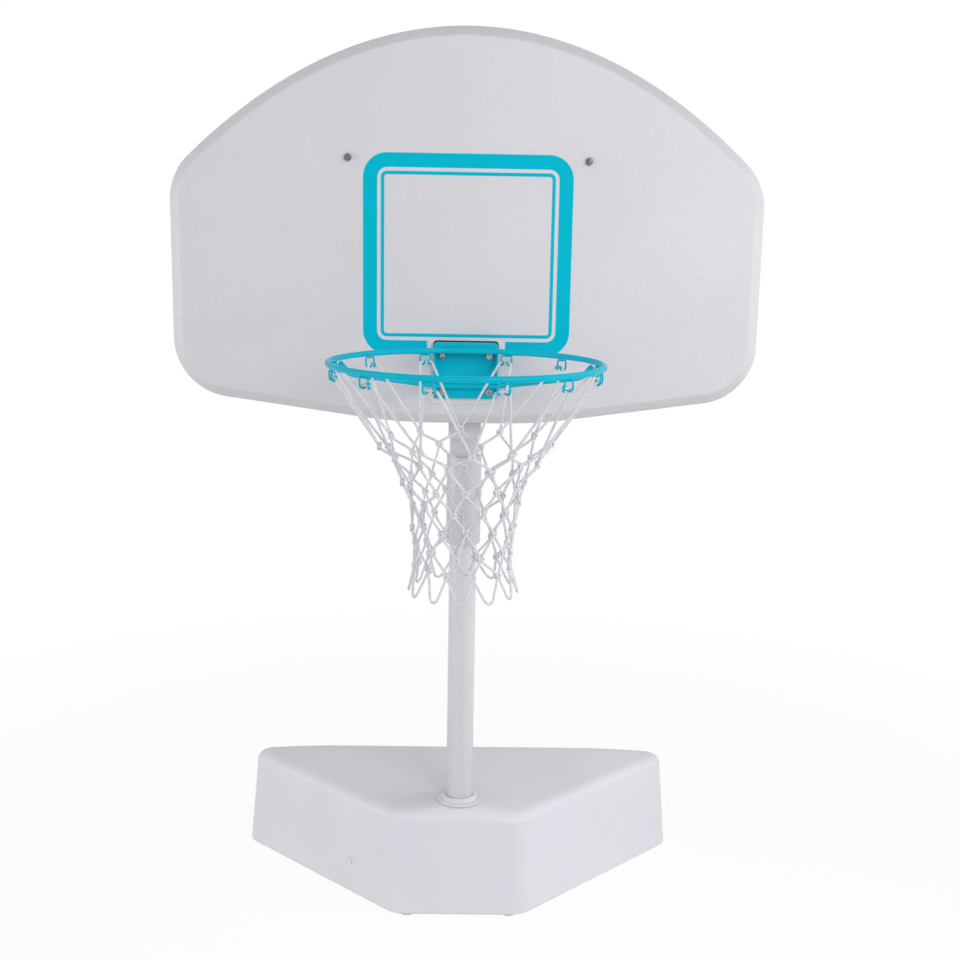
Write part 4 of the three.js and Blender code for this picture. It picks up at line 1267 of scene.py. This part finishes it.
@dataclass
class Rim:
    """Ring, brace rod and the twelve cord hooks."""

    radius: float = 0.234
    rod_radius: float = 0.00525
    level: float = 1.19
    centre_y: float = POLE_Y - 0.3595
    plate_front: float = POLE_Y - 0.0961
    brace_drop: float = 0.0694
    brace_half: float = 0.057
    brace_weld: float = 109.0
    brace_knee: float = 116.0
    knee_inward: float = 0.003
    knee_drop: float = 0.032
    brace_bend: float = 0.014
    hook_wire: float = 0.0017
    hook_half: float = 0.01
    hook_drop: float = 0.0117
    hook_curl: float = 0.0055
    hook_tip: float = 0.003
    hook_lean: float = math.radians(35.0)
    hook_bend: float = 0.0034
    gap: float = 0.0003
    first_angle: float = 14.2
    step_angle: float = 29.36
    side_hooks: int = 6
    rod_sides: int = 20
    ring_steps: int = 144
    curl_steps: int = 12
    hook_bend_steps: int = 6

    def at(self, angle: float, radius: float, level: float) -> Vector:
        """A point round the ring: angle 0 is the front and 90 is +X."""
        turn = math.radians(angle)
        return Vector((radius * math.sin(turn), self.centre_y - radius * math.cos(turn), level))

    def hook_angles(self) -> list[float]:
        """Where the hooks stand round the ring."""
        right = [self.first_angle + self.step_angle * i for i in range(self.side_hooks)]
        return [-a for a in reversed(right)] + right

    def hook_level(self) -> float:
        """Level of a hook's wire where it is welded on."""
        return self.level - self.rod_radius - self.gap - self.hook_wire

    def curl_level(self) -> float:
        """Level of the cord where it lies in the hooks."""
        return self.hook_level() - self.hook_drop

    def ring(self) -> BMesh:
        """Makes the bent rod, spun once round.

        Returns:
            The closed ring.
        """
        shape = bmesh.new()
        made = bmesh.ops.create_circle(shape, segments=self.rod_sides, radius=self.rod_radius)
        bmesh.ops.rotate(shape, verts=made["verts"], matrix=Matrix.Rotation(math.pi / 2, 3, "X"))
        bmesh.ops.translate(shape, verts=made["verts"], vec=(self.radius, 0, 0))
        bmesh.ops.spin(
            shape, geom=shape.verts[:] + shape.edges[:], cent=(0, 0, 0), axis=(0, 0, 1),
            angle=2 * math.pi, steps=self.ring_steps, use_merge=True,
        )
        bmesh.ops.translate(shape, verts=shape.verts, vec=(0, self.centre_y, self.level))
        bmesh.ops.recalc_face_normals(shape, faces=shape.faces)
        return shape

    def _arm(self, side: int) -> Path:
        """Corners of one half of the brace, from its weld to the bracket."""
        crossing = self.plate_front - self.gap - self.rod_radius
        return [
            self.at(side * self.brace_weld, self.radius, self.level - 2 * self.rod_radius - self.gap),
            self.at(side * self.brace_knee, self.radius - self.knee_inward, self.level - self.knee_drop),
            Vector((side * self.brace_half, crossing, self.level - self.brace_drop)),
        ]

    def _hook_leg(self, angle: float, side: int) -> Path:
        """Draws one leg of a hook, from its tip up to its curl's outer end.

        Args:
            angle: Where the hook stands round the ring.
            side: 1 for the leg on its right and -1 for the other.

        Returns:
            The middle line of the leg.
        """
        turn = math.radians(angle)
        across = Vector((math.cos(turn), math.sin(turn), 0))
        curl = []
        for i in range(self.curl_steps + 1):
            bend = math.pi * (1 - i / self.curl_steps)
            inward = self.hook_curl * (1 - math.cos(bend))
            reach = self.radius - inward * math.cos(self.hook_lean)
            place = self.at(angle, reach, self.curl_level() - self.hook_curl * math.sin(bend))
            curl.append(place + across * side * (self.hook_half - inward * math.sin(self.hook_lean)))
        return [curl[0] + Vector((0, 0, self.hook_tip)), *curl]

    def hook_path(self, angle: float) -> Path:
        """Draws one hook's wire.

        Args:
            angle: Where the hook stands round the ring.

        Returns:
            Its middle line.
        """
        left, right = self._hook_leg(angle, -1), self._hook_leg(angle, 1)
        turn = math.radians(angle)
        across = Vector((math.cos(turn), math.sin(turn), 0)) * self.hook_half
        middle = self.at(angle, self.radius, self.hook_level())
        corners = [left[-1], middle - across, middle + across, right[-1]]
        bridge = arc_bend(corners, self.hook_bend, self.hook_bend_steps)
        return [*left, *bridge[1:-1], *reversed(right)]

    def build(self, bench: Bench) -> None:
        """Makes the ring and all that is welded to it.

        Args:
            bench: The bench that turns shapes into pieces.
        """
        bench.piece(self.ring(), "rim_hoop", Body.MAST, Slot.RIM, ["rim_ring"])
        path = arc_bend([*self._arm(-1), *reversed(self._arm(1))], self.brace_bend)
        brace = Wire(self.rod_radius, self.rod_sides).along([path])
        bench.piece(brace, "rim_brace", Body.MAST, Slot.RIM, ["brace_rod"], crease=60)
        for i, angle in enumerate(self.hook_angles()):
            hook = Wire(self.hook_wire).along([self.hook_path(angle)])
            bench.piece(hook, f"cord_hook_{i + 1}", Body.MAST, Slot.RIM, [f"net_hook_{i + 1}"], crease=60)


@dataclass
class Bracket:
    """Bracket bent from one sheet: back plate, roof, front lip and tapered sides."""

    half: float = 0.061
    low: float = 1.0955
    high: float = 1.204
    back: float = POLE_Y - 0.0926
    front: float = POLE_Y - 0.11995
    sheet: float = 0.0035
    corner: float = 0.006
    bend: float = 0.0036
    edge: float = 0.0006
    lip: float = 0.018
    taper_start: float = 0.023
    taper_end: float = 0.072
    gasket: float = 0.0015
    gasket_gap: float = 0.0003
    # The rise above the bracket and the ears down its upper sides are a dark sheet put where there is only
    # shadow; the rest is the real gasket.
    gasket_shadow_rise: float = 0.002
    gasket_shadow_ears: float = 0.0014
    gasket_shadow_ear_drop: float = 0.013
    corner_match: float = 0.003
    """How near the plate's side a vertex lies that is one of its lower corners."""
    bend_turn: float = 1.2
    """A bend turns by more than this, in radians."""
    edge_angle: float = 50.0
    bend_steps: int = 5
    corner_steps: int = 6
    ear_steps: int = 8
    edge_steps: int = 2

    def skin(self) -> BMesh:
        """Makes the middle surface of the sheet, before it gets its thickness.

        Returns:
            The open surface with sharp bends.
        """
        inset = self.sheet / 2
        depth = self.back - self.front - self.sheet
        height = self.high - self.low - inset
        middle = (0, (self.back + self.front) / 2, self.low + height / 2)
        shape = bmesh.new()
        bmesh.ops.create_cube(shape, size=1.0)
        bmesh.ops.scale(shape, verts=shape.verts, vec=(2 * (self.half - inset), depth, height))
        bmesh.ops.translate(shape, verts=shape.verts, vec=middle)
        floor = [f for f in shape.faces if f.normal.z < -FACING]
        bmesh.ops.delete(shape, geom=floor, context="FACES")
        lip = Vector((0, 0, self.high - self.lip))
        self._cut(shape, [f for f in shape.faces if f.normal.y < -FACING], lip, -UP)
        upper = Vector((0, self.front, self.high - self.taper_start))
        run = Vector((0, self.back - self.sheet, self.high - self.taper_end)) - upper
        out = Vector((0, run.z, -run.y)).normalized()
        for side in (-1, 1):
            self._cut(shape, [f for f in shape.faces if f.normal.x * side > FACING], upper, out)
        return shape

    def _cut(self, shape: BMesh, faces: list[BMFace], place: Vector, out: Vector) -> None:
        """Cuts some faces by a plane and drops what lies beyond it.

        Args:
            shape: The surface.
            faces: The faces to cut.
            place: A point on the plane.
            out: The plane's direction, towards what is dropped.
        """
        parts = {*faces, *(e for f in faces for e in f.edges), *(v for f in faces for v in f.verts)}
        made = bmesh.ops.bisect_plane(shape, geom=list(parts), plane_co=place, plane_no=out)
        cut = {f for f in made["geom"] if isinstance(f, BMFace)}
        beyond = [f for f in cut if (f.calc_center_median() - place).dot(out) > 0]
        bmesh.ops.delete(shape, geom=beyond, context="FACES")

    def build(self, bench: Bench) -> None:
        """Makes the bracket and the gasket behind it, grown at its top into painted shadow.

        Args:
            bench: The bench that turns shapes into pieces.
        """
        shape = self.skin()
        inner = [e for e in shape.edges if len(e.link_faces) == 2]
        along = [e for e in inner if abs((e.verts[0].co - e.verts[1].co).normalized().y) > FACING]
        soften_edges(shape, along, self.corner, self.bend_steps)
        inner = [e for e in shape.edges if len(e.link_faces) == 2]
        bends = [e for e in inner if e.calc_face_angle(0.0) > self.bend_turn]
        soften_edges(shape, bends, self.bend, self.bend_steps)
        low = [v for v in shape.verts if v.co.z < self.low + SNAP and len(v.link_edges) == 2]
        corners = [v for v in low if abs(v.co.x) > self.half - self.corner_match]
        round_corners(shape, corners, self.corner, self.corner_steps)
        made = bench.piece(shape, "rim_bracket_sheet", Body.MAST, Slot.RIM, ["rim_bracket"], crease=50)
        modified(made, "sheet", "SOLIDIFY", thickness=self.sheet, offset=0.0, use_even_offset=True)
        modified(
            made, "edges", "BEVEL",
            width=self.edge, segments=self.edge_steps,
            limit_method="ANGLE", angle_limit=math.radians(self.edge_angle),
        )
        bench.piece(self.seal(), "bracket_gasket_and_shadow_sheet", Body.MAST, Slot.RUBBER, ["bracket_gasket"])

    def seal(self) -> BMesh:
        """Makes the dark gasket between bracket and pad; its rise and ears at the top are a painted shadow
        line along the bracket's top.

        Returns:
            The sheet, wider at its top where it stands in for the shadow.
        """
        inner, outer = self.half - self.gasket_shadow_ears, self.half + self.gasket_shadow_ears
        top, ear = self.high + self.gasket_shadow_rise, self.high - self.gasket_shadow_ear_drop
        right = [(inner, self.low), (inner, ear), (outer, ear), (outer, top)]
        shape = flat_face(right + [(-x, z) for x, z in reversed(right)], self.back + self.gasket_gap)
        upper = [v for v in shape.verts if v.co.z > ear + SNAP]
        round_corners(shape, upper, self.corner + self.gasket_shadow_ears, self.ear_steps)
        thicken(shape, self.gasket)
        return shape


@dataclass
class Net:
    """Twelve-loop net of laid cord with a knot at each crossing."""

    rim: Rim
    around: int = 12
    cord: float = 0.0025
    cord_sides: int = 9
    cord_strands: int = 3
    cord_steps: int = 24
    drops: tuple[float, ...] = (0.137, 0.165, 0.202, 0.24, 0.281, 0.3185, 0.354)
    radii: tuple[float, ...] = (0.149, 0.125, 0.1055, 0.096, 0.088, 0.085, 0.0855)
    twists: tuple[float, ...] = (3.5, 3.5, 3.0, 2.5, 3.5, 5.0, 13.0)
    pitch: float = 0.0015
    slack: tuple[float, float] = (-0.0005, 0.0018)
    sag_share: float = 0.4
    sag_reach: float = 0.33
    hook_bend: float = 0.006
    loop_bend: float = 0.0075
    loop_drop: float = 0.402
    loop_radius: float = 0.096
    loop_half: float = 0.006
    sway: float = 0.0065
    sway_inward: tuple[float, float] = (-0.6, 0.4)
    """How far a knot may sway in and out, in shares of the sway."""
    knot_radius: float = 0.0038
    knot_lobe: float = 0.35
    knot_tall: float = 1.15
    knot_deep: float = 0.75
    knot_steps: int = 36
    knot_cord_share: float = 0.85
    knot_sides: int = 8
    crease: float = 80.0
    seed: int = 11

    def turn(self, places: float) -> float:
        """The angle of a number of places round the net."""
        return 360 / self.around * places

    def knots(self) -> list[Path]:
        """Places the knots with the small unevenness of a hung net.

        Returns:
            The knots' places, row by row.
        """
        chance = random.Random(self.seed)
        rows = []
        for row, (drop, radius) in enumerate(zip(self.drops, self.radii)):
            places = []
            for i in range(self.around):
                angle = self.turn(i - self.around / 2 + (row % 2) / 2) + self.twists[row]
                angle += chance.uniform(-1, 1) * math.degrees(self.sway / radius)
                level = self.rim.level - drop + chance.uniform(-1, 1) * self.sway
                reach = radius + chance.uniform(*self.sway_inward) * self.sway
                places.append(self.rim.at(angle, reach, level))
            rows.append(places)
        return rows

    def strand(self, start: Vector, end: Vector, slack: float) -> Path:
        """Draws a cord between two knots, steep where it leaves them.

        Args:
            start: The upper knot.
            end: The lower knot.
            slack: How far it bows outwards.

        Returns:
            Its middle line.
        """
        fall = end - start
        pull = (fall * (1 - self.sag_share) - UP * fall.length * self.sag_share) * self.sag_reach
        out = Vector((start.x + end.x, start.y + end.y - 2 * self.rim.centre_y, 0)).normalized() * slack
        path = interpolate_bezier(start, start + pull + out, end - pull + out, end, self.cord_steps)
        return spread_points(path, self.pitch)

    def hanger(self, start: Vector, end: Vector, angle: float) -> Path:
        """Draws a cord from a knot up, over one hook's two curls and down to the next knot.

        Args:
            start: The first knot.
            end: The next knot.
            angle: Where the hook stands round the ring.

        Returns:
            Its middle line.
        """
        rim = self.rim
        seat = rim.radius - rim.hook_curl * math.cos(rim.hook_lean)
        curl_half = rim.hook_half - rim.hook_curl * math.sin(rim.hook_lean)
        spread = math.degrees((curl_half + rim.hook_wire + self.cord) / seat)
        turns = [rim.at(angle + side * spread, seat, rim.curl_level()) for side in (-1, 1)]
        return spread_points(arc_bend([start, *turns, end], self.hook_bend), self.pitch)

    def loop(self, start: Vector, end: Vector, angle: float) -> Path:
        """Draws an open loop that hangs between two of the lowest knots.

        Args:
            start: The first knot.
            end: The next knot.
            angle: Where the loop hangs round the net.

        Returns:
            Its middle line.
        """
        low = self.rim.level - self.loop_drop + self.cord
        spread = math.degrees(self.loop_half / self.loop_radius)
        turns = [self.rim.at(angle + side * spread, self.loop_radius, low) for side in (-1, 1)]
        return spread_points(arc_bend([start, *turns, end], self.loop_bend), self.pitch)

    def knot(self, place: Vector) -> Path:
        """Draws two turns of cord wrapped round a crossing.

        Args:
            place: The crossing.

        Returns:
            The wrapped cord's closed middle line.
        """
        out = Vector((place.x, place.y - self.rim.centre_y, 0)).normalized()
        across = Vector((-out.y, out.x, 0))
        path = []
        for i in range(self.knot_steps):
            turn = 2 * math.pi * i / self.knot_steps
            reach = self.knot_radius * (1 + self.knot_lobe * math.cos(3 * turn))
            flat = across * reach * math.cos(2 * turn) + UP * reach * self.knot_tall * math.sin(2 * turn)
            path.append(place + flat + out * self.knot_radius * self.knot_deep * math.sin(3 * turn))
        return path

    def build(self, bench: Bench) -> None:
        """Makes the cords and the knots.

        Args:
            bench: The bench that turns shapes into pieces.
        """
        rows = self.knots()
        chance = random.Random(self.seed + 1)
        cords = []
        for row, (upper, lower) in enumerate(zip(rows, rows[1:])):
            for i, start in enumerate(upper):
                for other in (i + row % 2, i + row % 2 - 1):
                    end = lower[other % self.around]
                    cords.append(self.strand(start, end, chance.uniform(*self.slack)))
        for i, angle in enumerate(self.rim.hook_angles()):
            after = (i + 1) % self.around
            hung = self.turn(i - (self.around - 1) / 2) + self.twists[-1]
            cords.append(self.hanger(rows[0][i], rows[0][after], angle))
            cords.append(self.loop(rows[-1][i], rows[-1][after], hung))
        laid = Wire(self.cord, self.cord_sides, self.cord_strands).along(cords)
        bench.piece(laid, "net_cords", Body.MAST, Slot.CORD, ["net"], crease=self.crease)
        wraps = [self.knot(place) for row in rows for place in row]
        wire = Wire(self.cord * self.knot_cord_share, self.knot_sides)
        bench.piece(wire.along(wraps, closed=True), "net_knots", Body.MAST, Slot.CORD, crease=self.crease)


# Camera and light


@dataclass
class Shot:
    """The camera, where the photograph was taken from."""

    place: tuple[float, float, float] = (-0.0083, -2.3833, 1.4138)
    yaw: float = math.radians(0.93)
    pitch: float = math.radians(11.138)
    roll: float = math.radians(1.001)
    lens: float = 47.623
    sensor: float = 36.0

    def build(self) -> None:
        """Makes the scene's camera."""
        flat = math.cos(self.pitch)
        ahead = Vector((math.sin(self.yaw) * flat, math.cos(self.yaw) * flat, -math.sin(self.pitch)))
        right = ahead.cross(UP).normalized()
        up = right.cross(ahead)
        tilted_right = right * math.cos(self.roll) + up * math.sin(self.roll)
        tilted_up = up * math.cos(self.roll) - right * math.sin(self.roll)
        turn = Matrix((tilted_right, tilted_up, -ahead)).transposed()
        data = bpy.data.cameras.new("camera")
        data.lens = self.lens
        data.sensor_width = self.sensor
        camera = placed("camera", data)
        camera.matrix_world = Matrix.Translation(self.place) @ turn.to_4x4()
        bpy.context.scene.camera = camera


@dataclass
class Softbox:
    """A soft area light aimed at the hoop."""

    name: str
    azimuth: float
    elevation: float
    distance: float
    level: float
    """What it adds to a white face turned towards it; more where its spread is narrow."""
    size: float
    aim: tuple[float, float, float] = (0.0, 0.0, 0.75)
    spread: float = 180.0

    def build(self) -> None:
        """Makes the light."""
        turn, rise = math.radians(self.azimuth), math.radians(self.elevation)
        away = Vector((math.sin(turn) * math.cos(rise), -math.cos(turn) * math.cos(rise), math.sin(rise)))
        data = bpy.data.lights.new(self.name, "AREA")
        data.energy = self.level * math.pi**2 * self.distance**2
        data.shape = "SQUARE"
        data.size = self.size
        data.spread = math.radians(self.spread)
        light = placed(self.name, data)
        light.location = Vector(self.aim) + away * self.distance
        light.rotation_mode = "QUATERNION"
        light.rotation_quaternion = (-away).to_track_quat("-Z", "Y")
        light.visible_camera = False


@dataclass
class Studio:
    """White surroundings, a pale floor and soft light from both sides."""

    ambient: float = 0.46
    brighter: tuple[float, float, float] = (0.1, -0.45, -0.05)
    """How much brighter the surroundings are along each axis than in the middle."""
    floor_half: float = 14.0
    floor_white: tuple[float, float, float, float] = (0.92, 0.92, 0.92, 1.0)
    floor_share: float = 0.08
    floor_near: float = 1.0
    floor_far: float = 2.6
    lights: tuple[Softbox, ...] = (
        Softbox("key_softbox", 28, 27, 3.0, 0.33, 1.4),
        Softbox("deck_softbox", 94, 46, 2.1, 0.038, 0.9, (0.05, 0.1, 0.2), 75),
        Softbox("right_softbox", 75, 14, 4.2, 0.15, 2.2),
        Softbox("left_softbox", -80, 8, 4.5, 0.33, 2.2),
    )

    def build(self) -> None:
        """Makes the surroundings, the floor and the lights."""
        self._world()
        self._floor()
        for light in self.lights:
            light.build()
        bpy.context.scene.view_settings.view_transform = "Standard"

    def _world(self) -> None:
        """Makes surroundings that are white where they are seen and softer where they light."""
        world = bpy.data.worlds.new("studio")
        bpy.context.scene.world = world
        world.use_nodes = True
        graph = Graph(world.node_tree)
        place = graph.add("TexCoord").outputs["Generated"]
        way = graph.add("VectorMath", {0: place, 1: self.brighter}, operation="DOT_PRODUCT")
        soft = graph.maths("MULTIPLY_ADD", way.outputs["Value"], self.ambient, self.ambient)
        level = graph.add("Mix", {"Factor": graph.seen(), "A": soft, "B": 1.0})
        sky = graph.nodes["Background"]
        graph.feed(sky, {"Color": (1, 1, 1, 1), "Strength": level.outputs["Result"]})

    def _floor(self) -> None:
        """Makes a white floor that keeps the hoop's shadow."""
        shape = bmesh.new()
        bmesh.ops.create_grid(shape, x_segments=1, y_segments=1, size=self.floor_half)
        floor = placed("floor", meshed(shape, "floor"))
        material = bpy.data.materials.new("pale_floor")
        material.use_nodes = True
        graph = Graph(material.node_tree)
        graph.nodes.remove(graph.nodes["Principled BSDF"])
        place = graph.add("TexCoord").outputs["Object"]
        far = graph.add("VectorMath", {0: place}, operation="LENGTH").outputs["Value"]
        fade = graph.fade(far, self.floor_near, self.floor_far, 1 - self.floor_share)
        matt = graph.add("BsdfDiffuse", {"Color": self.floor_white})
        lit = graph.add("Emission")
        share = graph.maths("MULTIPLY", graph.seen(), fade)
        mixed = graph.add("MixShader", {"Fac": share, 1: matt.outputs[0], 2: lit.outputs[0]})
        graph.feed(graph.nodes["Material Output"], {"Surface": mixed.outputs[0]})
        floor.data.materials.append(material)


def main() -> None:
    """Builds the hoop, the camera and the studio."""
    logging.basicConfig(level=logging.INFO, format="%(name)s: %(message)s")
    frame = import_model()
    Shot().build()
    Studio().build()
    bench = Bench(frame["nodes"])
    rim = Rim()
    for part in (Tank(), Mast(), Backboard(), rim, Bracket(), Net(rim)):
        part.build(bench)


if __name__ == "__main__":
    main()
